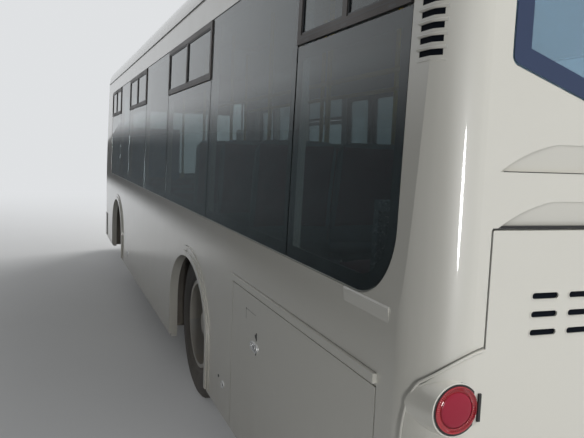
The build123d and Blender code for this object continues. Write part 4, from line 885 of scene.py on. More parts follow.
# %% Painted shade plates and lips of the slots
SLOT = (0.085, 0.017)
SLOT_OUTER = 0.892
SLOT_PITCH = (0.121, 0.050)
SLOT_TOP = 1.338
SLOT_COUNT = (5, 3)
SHADE_PLATE_IN = 0.0035
SHADE_PLATE_THICK = 0.001
SHADE_PLATE_SHRINK = 0.0004
LIP = 0.0028
LIP_DEPTH = -0.0013
LIP_THICK = 0.0016


def flat_rear(across, up, depth):
    return np.stack([depth, across, up], -1)


half_w, half_h = SLOT[0] / 2, SLOT[1] / 2
slot_low, slot_high, slot_r = (-half_w, -half_h), (half_w, half_h), (half_h,) * 4
shade_plate_loop, slot_loop = (rounded_loop(slot_low, slot_high, slot_r, inset) for inset in (SHADE_PLATE_SHRINK, 0.0))
lip_w, lip_h = half_w + LIP, half_h + LIP
lip_loop = rounded_loop((-lip_w, -lip_h), (lip_w, lip_h), (lip_h,) * 4, 0.0)
columns, rows = np.meshgrid(np.arange(SLOT_COUNT[0]), np.arange(SLOT_COUNT[1]))
slot_y = np.concatenate([side * (SLOT_OUTER - columns.ravel() * SLOT_PITCH[0]) for side in (-1, 1)])
slot_z = np.tile(SLOT_TOP - rows.ravel() * SLOT_PITCH[1], 2)
slot_turn = slope_of(rear_x, slot_y)
slot_places = np.array([place((x, y, z), (1, -t, 0), (t, 1, 0), (0, 0, 1))
                        for x, y, z, t in zip(rear_x(slot_y), slot_y, slot_z, slot_turn)])
shade_plate = plate(shade_plate_loop, flat_rear, SHADE_PLATE_IN, SHADE_PLATE_THICK)
lip = band(lip_loop, slot_loop, flat_rear, LIP_DEPTH, LIP_THICK)
# Near-black, almost unglossy colour of the slot plates: painted shade for the dark inside of each slot.
slot_dark = moulded("slot_dark", rgb(0.004, 0.006, 0.010), 0.75, 80.0, 0.00004, dust=0.0,
                    Specular_IOR_Level=0.1)
add_piece("slot_blinds", *placed(*shade_plate, slot_places), "engine_lid", "black", slot_dark)
add_piece("slot_lips", *placed(*lip, slot_places), "engine_lid", "paint", paint)

# %% [markdown]
# ## Louvres of the rear corners
# Nine slots are stacked on each rear corner. A near-black plate behind the skin closes each one; it is
# painted shade standing in for the dark inside of the slot. A rolled hood runs along its upper edge, and a
# thinner bar under the lowest one. All follow the corner's own arc, whose radius points out of the skin. A
# fine dark strip along the foot of the upper recess on the rear face is a painted shadow line.

# %% Painted shade plates and hoods of the louvres, and the painted shadow line
LOUVRE_X = (0.086, 0.168)
LOUVRE_Z = 1.949
LOUVRE_PITCH = 0.033
LOUVRE_H = 0.016
LOUVRES = 9
LOUVRE_SHADE_PLATE = (0.0016, 0.0020)
HOOD_ENDS = (0.007, 0.005)
HOOD_OVER = 0.0045
HOOD_OUT = 0.0012
HOOD_R = 0.0052
BAR_UNDER = 0.0110
BAR_IN = 0.0012
BAR_R = 0.0030
BROW_FOOT = 1.6655
BROW_REACH = 1.052
BROW_HALF = 0.0010


def corner_skin(z, x, depth):
    """The rear corner's arc at a place along the bus, moved inwards along the arc's radius by the depth."""
    radius, inner, centre = end_arcs(REAR_BOW, REAR_CORNER)
    back = (x - REAR - centre) / REAR_CORNER
    out = np.sqrt(np.clip(1.0 - back ** 2, 0.0, None))
    reach = np.minimum(inner + REAR_CORNER * out, side_y(z))
    return np.stack([x - back * depth, reach - out * depth, z + 0 * x], -1)


def mirrored(points, faces):
    return points * (1, -1, 1), faces[:, ::-1]


run = np.linspace(REAR + LOUVRE_X[0] + SHADE_PLATE_SHRINK, REAR + LOUVRE_X[1] - SHADE_PLATE_SHRINK, 14)
long_run = np.linspace(REAR + LOUVRE_X[0] - HOOD_ENDS[0], REAR + LOUVRE_X[1] + HOOD_ENDS[1], 16)
shade_plates, hoods = [], []
for k in range(LOUVRES):
    foot = LOUVRE_Z + k * LOUVRE_PITCH
    across = (foot + SHADE_PLATE_SHRINK, foot + LOUVRE_H - SHADE_PLATE_SHRINK)
    shade_plates.append(strip(across, run, corner_skin, *LOUVRE_SHADE_PLATE))
    hoods.append(tube(corner_skin(foot + LOUVRE_H + HOOD_OVER + 0 * long_run, long_run, -HOOD_OUT), HOOD_R))
hoods.append(tube(corner_skin(LOUVRE_Z - BAR_UNDER + 0 * long_run, long_run, BAR_IN), BAR_R))
shade_plates += [mirrored(*part) for part in shade_plates]
hoods += [mirrored(*part) for part in hoods]
# The louvre plates are painted shade: their near-black colour stands in for the dark inside of each slot.
add_piece("louvre_blinds", *joined(*shade_plates), "bodywork", "black", slot_dark)
add_piece("louvre_hoods", *joined(*hoods), "bodywork", "paint", paint, smooth=60)
# A fine strip in the black rubber material along the foot of the upper recess: painted shadow for the
# recess's lower line.
painted_brow_shadow = strip((BROW_FOOT - BROW_HALF, BROW_FOOT + BROW_HALF), np.linspace(-BROW_REACH, BROW_REACH, 60),
                  upright(rear_skin), -0.0004, 0.0006)
add_piece("brow_shadow_line", *painted_brow_shadow, "bodywork", "rubber", seal_rubber)

# %% [markdown]
# ## Rubber round the lid and edges of the rear corners
# A rubber seal fills the joint over and beside the lid, thick along the top. The rear mask ends over each
# bumper corner in a rolled lip, which is a bar carried along the corner's own outline.

# %% Lid seal, stops and corner lips
LID_HALF = 1.075
LID_TOP = 1.520
LID_FOOT = 0.526
SHUT = 0.006
POD_PROUD = 0.010
SEAL_PROUD = 0.0004
SEAL_DEEP = 0.009
# Each pair: from where to where a seal reaches, measured from the lid's own edge.
TOP_SEAL = np.array([0.0004, 0.0056])
SIDE_SEAL = np.array([0.0005, 0.0052])
EDGE_SEAL = np.array([-0.0028, -0.0002])

across = np.linspace(-LID_HALF - SHUT, LID_HALF + SHUT, 60)
top_seal = strip(LID_TOP + TOP_SEAL, across, upright(rear_skin), 0.001, SEAL_DEEP)
across = np.linspace(-LID_HALF + 0.004, LID_HALF - 0.004, 60)
edge_seal = strip(LID_TOP + EDGE_SEAL, across, upright(rear_skin), -SEAL_PROUD, 0.002)
add_piece("lid_edge_seal", *edge_seal, "engine_lid", "rubber", seal_rubber)
heights = np.linspace(LID_FOOT, LID_TOP, 40)
side_seals = [strip(side * (LID_HALF + SIDE_SEAL), heights, rear_skin, 0.004, SEAL_DEEP) for side in (-1, 1)]
add_piece("lid_seal", *joined(top_seal, *side_seals), "bodywork", "rubber", seal_rubber)

STOP_Z = (1.013, 1.088)
STOP_Y = np.array([1.0825, 1.0905])
STOP_PROUD = 0.016
STOP_THICK = 0.020
stops = [strip(side * STOP_Y, np.linspace(*STOP_Z, 8), rear_skin, -STOP_PROUD, STOP_THICK)
         for side in (-1, 1)]
add_piece("lid_stops", *joined(*stops), "bodywork", "rubber", seal_rubber)


def arc_through(first, middle, last, count=16):
    """Points on the curve through three points: a quadratic in the share of the way, exact at all three."""
    share = np.linspace(0, 1, count)[:, None]
    first, middle, last = (np.array(v) for v in (first, middle, last))
    bend = 4 * middle - 2 * (first + last)
    return first * (1 - share) + last * share + bend * share * (1 - share)


corner_y = np.linspace(SIDE - REAR_CORNER, SIDE, 400)
corner_x = rear_depth(corner_y)
fall = np.stack([np.full(12, 0.130), np.linspace(0.300, 0.955, 12)], -1)
turn_up = arc_through((0.130, 0.960), (0.115, 1.053), (0.090, 1.110))
over = arc_through((1.219, 1.110), (1.153, 1.171), (LID_HALF + 0.010, 1.2005))
from_side = np.concatenate([fall, turn_up])
y_side = np.interp(from_side[:, 0], corner_x, corner_y)
lip_x = np.concatenate([from_side[:, 0], rear_depth(over[1:, 0])])
lip_y = np.concatenate([y_side, over[1:, 0]])
lip_z = np.concatenate([from_side[:, 1], over[1:, 1]])
slope = slope_of(rear_depth, lip_y, 0.0005)
out = np.stack([-np.ones_like(slope), slope], -1)
out /= np.linalg.norm(out, axis=1)[:, None]
LIP_PROUD = POD_PROUD - 0.0005
CORNER_LIP_R = 0.0042
lip_path = np.stack([REAR + lip_x + out[:, 0] * LIP_PROUD, lip_y + out[:, 1] * LIP_PROUD, lip_z], -1)
parts = [tube(lip_path * (1, side, 1), CORNER_LIP_R) for side in (-1, 1)]
add_piece("corner_lips", *joined(*parts), "bodywork", "paint", paint, smooth=60)

# %% [markdown]
# ## Tail lamps
# Each lamp is turned from two profiles. The outer one is a polished bead with a narrow ring of sixty radial
# flutes inside it. The flutes are a cosine of the angle, faded to nothing at both edges of their ring. The
# inner one is a smooth, shallow dome. A black seal stands round each lens.

# %% Fluted lenses
lamp_low, lamp_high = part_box("tail_lamps")
LAMP_R = 0.064
LAMP_Y = lamp_high.y - LAMP_R
LAMP_ZS = (1.049, 0.892, 0.735)
LAMP_FACE = lamp_low.x
FLUTES = 60
FLUTE_DEPTH = 0.0013
LENS_BACK = 0.0390
CENTRE_BACK = 0.0300
LENS_RADIUS = np.array([0.0480, 0.0484, 0.0492, 0.0505, 0.0540, 0.0575, 0.0592,
                        0.0602, 0.0615, 0.0628, 0.0636, 0.0638, 0.0638])
LENS_DEPTH = np.array([0.0020, 0.0042, 0.0046, 0.0034, 0.0030, 0.0028, 0.0030,
                       0.0012, 0.0003, 0.0006, 0.0020, 0.0100, LENS_BACK])
LENS_FLUTE = np.array([0, 0, 0, 0.6, 1, 1, 0.6, 0, 0, 0, 0, 0, 0]) * FLUTE_DEPTH
CENTRE_RADIUS = np.array([0.0, 0.012, 0.024, 0.034, 0.042, 0.0465, 0.0478, 0.0478])
CENTRE_DEPTH = np.array([0.0004, 0.0005, 0.0008, 0.0012, 0.0018, 0.0026, 0.0040, CENTRE_BACK])


def lens_mesh(radius, depth, flute, sides, back):
    """Depth is the profile plus a cosine of the angle; the back is closed by a flat disc."""
    angle = np.linspace(0, 2 * pi, sides, endpoint=False)[:, None]
    deep = depth + flute * np.cos(FLUTES * angle)
    radius = np.append(radius, 0.0)
    deep = np.hstack([deep, back + 0 * angle])
    grid = np.stack([deep, radius * np.cos(angle), radius * np.sin(angle)], -1)
    return grid.reshape(-1, 3), grid_faces(sides, len(radius), wrap_rows=True)


lamp_places = np.array([place((LAMP_FACE, side * LAMP_Y, z), *np.eye(3))
                        for side in (-1, 1) for z in LAMP_ZS])
rim_points, rim_faces = lens_mesh(LENS_RADIUS, LENS_DEPTH, LENS_FLUTE, FLUTES * 6, LENS_BACK)
rim_faces = rim_faces[(rim_faces % (len(LENS_RADIUS) + 1) < len(LENS_RADIUS)).all(axis=1)]
centre = lens_mesh(CENTRE_RADIUS, CENTRE_DEPTH, 0 * CENTRE_DEPTH, 72, CENTRE_BACK)
lenses = add_piece("fluted_lenses", *placed(rim_points, rim_faces, lamp_places), "bodywork", "lamp_red",
                   red_lens, smooth=50)
add_piece("lamp_centres", *placed(*centre, lamp_places), "bodywork", "lamp_red", red_centre, smooth=50)
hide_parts("tail_lamps")
seal_r = np.array([0.0641, 0.0641, 0.0690, 0.0690, 0.0641])
seal_x = np.array([0.0120, 0.0030, 0.0030, 0.0120, 0.0120])
seal_points, seal_faces = revolved(seal_r, seal_x, 72)
seal_points = seal_points[:, [2, 0, 1]]
add_piece("lamp_seals", *placed(seal_points, seal_faces, lamp_places), "bodywork", "rubber", seal_rubber)

# %% [markdown]
# ## Wheel nuts and hub bolts
# Ten nuts hold each wheel, between the hand holes, and smaller bolts ring the hub. A nut is a profile
# turned in six steps, its stud one turned in sixteen; both are copied round the bolt circle as arrays.

# %% Nuts, studs and hub bolts
NUTS = 10
NUT_CIRCLE = 0.1675
HUB_BOLTS = 10
HUB_CIRCLE = 0.113


def peg(radius, face_radius, foot, shoulder, top, sides):
    """A peg turned from five points: foot, shoulder and a chamfer to its end."""
    return revolved(np.array([0.0, radius, radius, face_radius, 0.0]),
                    np.array([foot, foot, shoulder, top, top]), sides)


nut = peg(0.0192, 0.0170, 0.0, 0.0180, 0.0205, 6)
washer = peg(0.0235, 0.0210, 0.0, 0.0030, 0.0042, 24)
stud = peg(0.0100, 0.0086, 0.020, 0.0310, 0.0325, 16)
bolt = peg(0.0112, 0.0098, 0.0, 0.0060, 0.0072, 6)


def ring_places(hub, face, circle, count, first):
    """Places round an axle across the bus: Z of the pattern points outboard and X away from the axle."""
    side = np.sign(hub[1])
    angle = radians(first) + np.arange(count) * 2 * pi / count
    return np.array([place((hub[0] + circle * cos(a), hub[1] + side * face, hub[2] + circle * sin(a)),
                           (cos(a), 0, sin(a)), np.cross((0, side, 0), (cos(a), 0, sin(a))), (0, side, 0))
                     for a in angle])


# Columns: body, outer face of the disc and of the hub, outboard from the middle of the tyre.
WHEELS = (("wheel_front_left", 0.1012, 0.1502), ("wheel_front_right", 0.1012, 0.1502),
          ("wheels_rear_left", -0.1553, 0.0602), ("wheels_rear_right", -0.1553, 0.0602))
for body, disc_face, hub_face in WHEELS:
    nut_places = ring_places(pivot[body], disc_face, NUT_CIRCLE, NUTS, 18.0)
    hub_places = ring_places(pivot[body], hub_face, HUB_CIRCLE, HUB_BOLTS, 0.0)
    parts = [placed(*shape, nut_places) for shape in (nut, washer, stud)] + [placed(*bolt, hub_places)]
    add_piece("wheel_nuts_" + body, *joined(*parts), body, "rim", wheel_paint)

# %% [markdown]
# ## Fittings on the left side
# The hatch has a rain ledge over it, a long lock with a raised rim, a keyhole flap above that and a slot
# below, and a scribed corner ahead. Two small fittings sit in the skirt by the wheel, and one more far ahead.
# Each is a strip or a flat loop laid on the side skin.

# %% Lock, marks and caps
LEDGE_X = (REAR_AXLE - 2.6005, REAR_AXLE - 1.0895)
LEDGE_Z = (1.0575, 1.0700)
LEDGE_PROUD = 0.0139
LOCK = (-3.345, 0.795)
LOCK_SIZE = (0.100, 0.040)
LOCK_EYE = (LOCK[0] - 0.006, LOCK[1])
FLAP = (-3.372, 0.852)
FLAP_CORNERS = np.array([(0.016, 0.0), (-0.010, 0.019), (-0.010, -0.019)])
SLIT = (-3.371, 0.772)
MARK = (-3.214, 0.946)
MARK_RUN = (0.147, 0.050)
SCRIBE = 0.0004
SKIRT_RING = (-2.821, 0.423)
SKIRT_DOT = (-2.733, 0.4425)
SKIRT_CAP = (1.529, 0.427)


def loop_at(spot, size, radius, inset=0.0):
    low = (spot[0] - size[0] / 2, spot[1] - size[1] / 2)
    high = (spot[0] + size[0] / 2, spot[1] + size[1] / 2)
    return rounded_loop(low, high, (radius,) * 4, inset)


def raised_rim(spot, size, radius, width, thick):
    return band(loop_at(spot, size, radius), loop_at(spot, size, radius, width), left_skin, -thick, thick)


def boss(spot, size, radius, thick):
    return plate(loop_at(spot, size, radius), left_skin, -thick, thick)


ledge = strip(LEDGE_Z, np.linspace(*LEDGE_X, 30), upright(left_skin), -LEDGE_PROUD, LEDGE_PROUD)
add_piece("hatch_rain_ledge", *ledge, "bodywork", "paint", paint)
rim = raised_rim(LOCK, LOCK_SIZE, LOCK_SIZE[1] / 2, 0.0075, 0.005)
bridge = raised_rim(LOCK_EYE, (0.030, 0.030), 0.015, 0.005, 0.0062)
add_piece("hatch_lock_rim", *joined(rim, bridge), "side_hatch", "rim", chrome)
# The black plate of the slot below the lock is painted shade for that opening.
dark_parts = [boss(LOCK_EYE, (0.017, 0.017), 0.008, 0.003), boss(SLIT, (0.011, 0.018), 0.003, 0.0006),
              plate(FLAP_CORNERS + FLAP, left_skin, -0.0022, 0.0022),
              strip((MARK[1] - 0.0008, MARK[1] + 0.0008), np.array([MARK[0] - MARK_RUN[0], MARK[0]]),
                    upright(left_skin), -SCRIBE, SCRIBE),
              strip((MARK[0] - 0.0011, MARK[0] + 0.0011), np.array([MARK[1] - MARK_RUN[1], MARK[1]]),
                    left_skin, -SCRIBE, SCRIBE),
              boss(MARK, (0.008, 0.008), 0.004, 0.0008)]
add_piece("hatch_marks", *joined(*dark_parts), "side_hatch", "black", black_print)
skirt_parts = [raised_rim(SKIRT_RING, (0.048, 0.040), 0.020, 0.005, 0.004),
               raised_rim(SKIRT_CAP, (0.060, 0.060), 0.030, 0.008, 0.004)]
add_piece("skirt_rings", *joined(*skirt_parts), "bodywork", "rim", chrome)
skirt_dark = [boss(SKIRT_DOT, (0.020, 0.014), 0.007, 0.002), boss(SKIRT_RING, (0.016, 0.016), 0.008, 0.002),
              boss(SKIRT_CAP, (0.040, 0.040), 0.020, 0.002)]
add_piece("skirt_dots", *joined(*skirt_dark), "bodywork", "black", black_print)

# %% [markdown]
# ## Sliding vents
# Each vent frame has a black channel round its panes, a groove along its lower bar and three drain slots.
# All are thin bands and plates on the frame's face, the same on both sides. The black of the groove and of
# the drain slots is painted shade for these openings.

# %% Channels, grooves and drains of the vents
BAR = 0.034
VENT_PROUD = 0.0063
CHANNEL = 0.0075
GROOVE_H = 0.0035
DRAINS = (0.12, 0.50, 0.88)
DRAIN_HALF = 0.022
DRAIN_Z = (0.005, 0.013)
DRAIN_R = 0.0035
TRIM_THICK = 0.0004


def vent_trim(panes, skin):
    """Bands round both panes of every sliding vent, with a strip and three plates on its lower bar."""
    parts = []
    for rear, front, slides in panes:
        if not slides:
            continue
        x0, x1 = REAR_AXLE + rear + JOINT, REAR_AXLE + front - JOINT
        middle = (x0 + x1) / 2
        z0, z1 = SLIDER_Z + BAR, GLASS_TOP - JOINT - BAR
        for a, b in ((x0 + BAR, middle - BAR / 2), (middle + BAR / 2, x1 - BAR)):
            loops = [rounded_loop((a, z0), (b, z1), (0.004,) * 4, inset, steps=4) for inset in (0.0, CHANNEL)]
            parts.append(band(*loops, skin, -0.003, 0.004))
        # The groove strip and the drain plates are black: painted shade for the groove and the drain
        # openings.
        groove_z = SLIDER_Z + BAR * 0.62
        parts.append(strip((groove_z, groove_z + GROOVE_H), np.linspace(x0 + 0.004, x1 - 0.004, 12),
                           upright(skin), -VENT_PROUD, TRIM_THICK))
        for share in DRAINS:
            x = x0 + share * (x1 - x0)
            low, high = (x - DRAIN_HALF, SLIDER_Z + DRAIN_Z[0]), (x + DRAIN_HALF, SLIDER_Z + DRAIN_Z[1])
            drain = rounded_loop(low, high, (DRAIN_R,) * 4, 0.0, steps=4)
            parts.append(plate(drain, skin, -VENT_PROUD, TRIM_THICK))
    return parts


vent_parts = vent_trim(LEFT_PANES, left_skin)
vent_parts += [part for row in RIGHT_PANES for part in vent_trim(row, right_skin)]
add_piece("vent_channels", *joined(*vent_parts), "bodywork", "black", black_print)

# %% [markdown]
# ## Seat padding
# Each seat shell carries a thin pad on its pan and one on each face of its back. A pad is a crowned closed
# form: its height is a flattened product of two arches, its sides pull in between the corners, and two sewn
# channels cross it. A cord of piping hides the edge seam. One pad is worked out, then laid on every seat.

# %% Pads of the passenger seats
SEAT_W = 0.430
SEAT_GAP = 0.020
SEAT_H = 0.440
PAN_DEPTH = 0.420
PAN_RISE = 0.025
BACK_H = 0.560
BACK_LEAN = 0.090
SHELL = 0.030
SEAT_MIDDLE = SIDE - 0.045 - 0.030 - SEAT_W - SEAT_GAP / 2
FLOOR_LOW, FLOOR_HIGH, ENGINE_DECK = 0.370, 0.780, 1.180
PAD_W = 0.392
PAN_PAD = (0.365, 0.026)
BACK_PAD = (0.420, 0.020)
WELT_R = 0.0035
BENCH_X = -4.33
BENCH_SEATS = 5
BENCH_PITCH = 0.435
# Columns: place of the back, side, floor it stands on.
SEATS = ((1.42, 1, FLOOR_LOW), (0.70, 1, FLOOR_LOW), (-0.02, 1, FLOOR_LOW), (-0.74, 1, FLOOR_LOW),
         (1.42, -1, FLOOR_LOW), (-1.06, -1, FLOOR_LOW),
         (-1.70, 1, FLOOR_HIGH), (-2.35, 1, FLOOR_HIGH), (-3.00, 1, FLOOR_HIGH),
         (-1.70, -1, FLOOR_HIGH), (-2.35, -1, FLOOR_HIGH), (-3.00, -1, FLOOR_HIGH))


def pad(width, length, thick, channels=(-0.34, 0.34), count=17):
    """Crown = thickness x (arch x arch)^0.4, less a narrow bell at each channel; the edges waist by 3 %."""
    u, v = np.meshgrid(np.linspace(-1, 1, count), np.linspace(-1, 1, count), indexing="ij")
    across = width / 2 * u * (1 - 0.03 * (1 - v ** 2))
    along = length / 2 * v * (1 - 0.03 * (1 - u ** 2))
    crown = (np.clip(1 - u ** 4, 0, None) * np.clip(1 - v ** 4, 0, None)) ** 0.4
    dip = sum(np.exp(-((v - at) / 0.05) ** 2) for at in channels)
    top = thick * crown * (1 - 0.35 * dip)
    under = -0.12 * thick * crown
    grid = np.stack([np.stack([across, along, top], -1), np.stack([across, along, under], -1)])
    faces = grid_faces(count, count)
    sheet_faces = np.concatenate([faces, faces[:, ::-1] + count * count])
    flat = np.stack([across, along], -1)
    edge = np.concatenate([flat[0, :-1], flat[:-1, -1], flat[-1, :0:-1], flat[::-1, 0]])
    welt = tube(np.hstack([edge, np.zeros((len(edge), 1))]), WELT_R, sides=6)
    return joined((grid.reshape(-1, 3), sheet_faces), welt)


def tilted(origin, across, along):
    across = np.array(across, float)
    along = np.array(along, float) / np.linalg.norm(along)
    return place(origin, across, along, np.cross(across, along))


pan_places, back_places = [], []
for x, side, base in SEATS:
    for half in (-1, 1):
        y = side * SEAT_MIDDLE + half * (SEAT_W + SEAT_GAP) / 2
        z = base + SEAT_H
        middle = (x + PAN_DEPTH * 0.54, y, z + PAN_RISE * 0.54 + 0.001)
        pan_places.append(tilted(middle, (0, -1, 0), (PAN_DEPTH, 0, PAN_RISE)))
        lean = np.array((-BACK_LEAN, 0, BACK_H - SHELL)) / (BACK_H - SHELL)
        foot_of_back = np.array((x + SHELL, y, z))
        back_places.append(tilted(foot_of_back + lean * 0.285 + (0.001, 0, 0), (0, 1, 0), lean))
        back_places.append(tilted(foot_of_back + lean * 0.300 - (SHELL + 0.001, 0, 0), (0, -1, 0), lean))
for k in range(BENCH_SEATS):
    y = (k - BENCH_SEATS // 2) * BENCH_PITCH
    pan_places.append(tilted((BENCH_X + 0.310, y, ENGINE_DECK + 0.081), (0, -1, 0), (0.41, 0, 0.02)))
    back_places.append(tilted((BENCH_X + 0.080, y, ENGINE_DECK + 0.285), (0, 1, 0), (-0.07, 0, 0.43)))
pan_pad, back_pad = pad(PAD_W, *PAN_PAD), pad(PAD_W, *BACK_PAD)
seat_pads = add_piece("seat_pads", *placed(*pan_pad, np.array(pan_places)), "bodywork", "seat", cloth)
back_pads = add_piece("back_pads", *placed(*back_pad, np.array(back_places)), "bodywork", "seat", cloth)

# %% [markdown]
# The driver's seat is a suspension seat: a thick cushion and a tall back on a bellows. Cushion and back are
# blown up by a short cloth simulation from slightly smaller boxes, with the movement of every point capped,
# and then smoothed by one subdivision. The bellows is a turned profile whose radius swings with the height.

# %% Driver's seat
CLOTH_FRAMES = 20
VOXEL = 0.006
SWELL_CAP = 0.024
AIR_PRESSURE = 4.0

def blown_up(name, size, turn_back, middle):
    """A rounded box, remeshed, inflated as cloth and capped: new = old + move x min(1, cap / |move|)."""
    points, faces = pillow(size, square=0.28, rows=30, cols=44)
    c, s = cos(turn_back), sin(turn_back)
    turned = np.stack([points[:, 0] * c + points[:, 2] * s, points[:, 1],
                       points[:, 2] * c - points[:, 0] * s], -1)
    piece = add_piece(name, turned + np.array(middle), faces, "bodywork", "seat", cloth, smooth=180)
    remesh = piece.modifiers.new("voxels", "REMESH")
    remesh.mode = "VOXEL"
    remesh.voxel_size = VOXEL
    depsgraph = bpy.context.evaluated_depsgraph_get()
    start_mesh = bpy.data.meshes.new_from_object(piece.evaluated_get(depsgraph))
    piece.modifiers.clear()
    piece.data = start_mesh
    before = np.empty(len(start_mesh.vertices) * 3)
    start_mesh.vertices.foreach_get("co", before)
    air = piece.modifiers.new("air", "CLOTH")
    air.settings.use_pressure = True
    air.settings.uniform_pressure_force = AIR_PRESSURE
    air.settings.effector_weights.gravity = 0.0
    for number in range(1, CLOTH_FRAMES + 1):
        bpy.context.scene.frame_set(number)
    depsgraph = bpy.context.evaluated_depsgraph_get()
    blown = piece.evaluated_get(depsgraph).data
    after = np.empty_like(before)
    blown.vertices.foreach_get("co", after)
    piece.modifiers.clear()
    move = (after - before).reshape(-1, 3)
    far = np.linalg.norm(move, axis=1, keepdims=True)
    after = before.reshape(-1, 3) + move * np.minimum(1.0, SWELL_CAP / np.maximum(far, 1e-9))
    start_mesh.vertices.foreach_set("co", after.ravel())
    start_mesh.shade_smooth()
    start_mesh.update()
    bpy.context.scene.frame_set(1)
    print(name, "moved", round(float(far.max()), 4))
    smooth = piece.modifiers.new("smooth", "SUBSURF")
    smooth.levels = smooth.render_levels = 1
    return piece


DRIVER_X, DRIVER_Y, DRIVER_Z = 3.690, 0.720, 0.540
CUSHION = (0.425, 0.445, 0.085)
CUSHION_Z = 0.390
BACK = (0.085, 0.430, 0.700)
BACK_TURN = radians(-8)
BACK_X = -0.250
BACK_Z = 0.780
BELLOWS_Z = (0.002, 0.330)
BELLOWS_R = 0.130
BELLOWS_FOLD = 0.012
BELLOWS_STEPS = 34
cushion = blown_up("driver_cushion", CUSHION, 0.0, (DRIVER_X, DRIVER_Y, DRIVER_Z + CUSHION_Z))
back_pad = blown_up("driver_back", BACK, BACK_TURN, (DRIVER_X + BACK_X, DRIVER_Y, DRIVER_Z + BACK_Z))
height = np.linspace(*BELLOWS_Z, BELLOWS_STEPS)
folds = BELLOWS_R + BELLOWS_FOLD * np.sin(np.linspace(0, 10 * pi, BELLOWS_STEPS))
profile_r = np.concatenate([[0.0], folds, [0.0]])
profile_z = np.concatenate([height[:1], height, height[-1:]])
bellows_points, bellows_faces = revolved(profile_r, profile_z, 48)
bellows_points += np.array((DRIVER_X, DRIVER_Y, DRIVER_Z))
bellows = add_piece("driver_bellows", bellows_points, bellows_faces, "bodywork", "black", black_plastic,
                    smooth=60)
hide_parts("driver_seat")
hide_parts("driver_seat")
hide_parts("driver_seat")

# %% [markdown]
# ## Headlamps and mirrors
# Behind each headlamp cover stand two bowls, paraboloids whose depth grows with the square of the radius,
# with a bulb in each, and a small amber lamp between them. The mirror heads carry a bright plate.

# %% Reflectors, bulbs and mirror plates
BOWL_R = 0.068
BOWL_DEPTH = 0.020
# Columns: distance from the middle, height.
BOWLS = ((0.872, 0.785), (1.018, 0.785))
AMBERS = ((0.945, 0.845), (0.945, 0.725))
BOWL_SET_IN = 0.0125
BOWL_WALL = 0.004
BULB_R = 0.012
BULB_IN = -0.008
share = np.linspace(0, 1, 14)
bowl_back = -BOWL_DEPTH - 0.002
bowl = revolved(np.concatenate([BOWL_R * share, [BOWL_R + BOWL_WALL, BOWL_R + BOWL_WALL, 0.0]]),
                np.concatenate([BOWL_DEPTH * (share ** 2 - 1), [0.0, bowl_back, bowl_back]]), 48)
half_turn = np.linspace(0, pi, 12)
bulb = revolved(BULB_R * np.sin(half_turn), BULB_IN - BULB_R * np.cos(half_turn), 24)
amber = revolved(np.array([0.0, 0.016, 0.018, 0.018, 0.0]), np.array([0.0, 0.0, -0.004, -0.022, -0.022]), 32)


def on_front(y, z, depth):
    """A place on the front: the pattern's Z points out along the skin's own normal."""
    slope_y = slope_of(lambda at: front_x(at, z), y)
    normal = np.array([1.0, -slope_y, 0.0])
    normal /= np.linalg.norm(normal)
    across = np.array([-normal[1], normal[0], 0.0])
    point = np.array([float(front_x(y, z)), y, z]) - normal * depth
    return place(point, across, np.cross(normal, across), normal)


bowl_places, amber_places = (np.array([on_front(side * y, z, BOWL_SET_IN)
                                       for side in (-1, 1) for y, z in spots]) for spots in (BOWLS, AMBERS))
add_piece("headlamp_bowls", *placed(*bowl, bowl_places), "bodywork", "lamp_clear", chrome)
add_piece("headlamp_bulbs", *placed(*bulb, bowl_places), "bodywork", "lamp_clear", clear)
add_piece("indicator_lamps", *placed(*amber, amber_places), "bodywork", "lamp_clear", amber_lens)

MIRROR_X = FRONT - 0.075 - 0.040
MIRROR_Y = SIDE - 0.190
MIRROR_Z = 1.860
MIRROR_HALF = (0.082, 0.150)
MIRROR_R = 0.030
MIRROR_THICK = 0.0012
mirror_loop = rounded_loop((-MIRROR_HALF[0], -MIRROR_HALF[1]), MIRROR_HALF, (MIRROR_R,) * 4, 0.0)
mirror_plate = plate(mirror_loop, flat_rear, -MIRROR_THICK, MIRROR_THICK)
mirror_places = np.array([place((MIRROR_X, side * MIRROR_Y, MIRROR_Z), *np.eye(3)) for side in (-1, 1)])
silver = moulded("mirror_silver", rgb(0.90, 0.91, 0.92), 0.13, 900.0, 0.00001, dust=0.0, Metallic=1.0)
add_piece("mirror_plates", *placed(*mirror_plate, mirror_places), "bodywork", "glass", silver)

# %% [markdown]
# ## Stage
# A pale floor fades into the backdrop, so that no horizon shows. The soft key stands behind and to the
# right, so the rear face is bright and the left side falls off, as in the photograph. A long dark board on
# the left, which the camera doesn't see and whose edges fade, gives the side glass and the enamel something
# dark to mirror. A tall narrow lamp makes the highlight down the rear corner; mirror rays see no other lamp.

# %% Floor and backdrop
BACKDROP = rgb(0.74, 0.755, 0.77)
SEEN = 1.0
SOFT_LIGHT = 0.20
FLOOR_REACH = 90.0
FADE_FROM = -3.0
FADE_TO = 18.0


def seen_strength(tree):
    """Full for what is seen directly, mirrored or through glass, and lower for light that falls on things."""
    path = put(tree, "LightPath").outputs
    seen = calc(tree, "MAXIMUM", path["Is Camera Ray"], path["Is Transmission Ray"])
    seen = calc(tree, "MAXIMUM", seen, path["Is Glossy Ray"])
    return ramp(tree, seen, SEEN - SOFT_LIGHT, SOFT_LIGHT)


def stage_piece(name, points, faces, finish_used):
    mesh = bpy.data.meshes.new(name)
    mesh.from_pydata(points.tolist(), [], faces.tolist())
    thing = bpy.data.objects.new(name, mesh)
    bpy.context.scene.collection.objects.link(thing)
    mesh.materials.append(finish_used)
    return thing


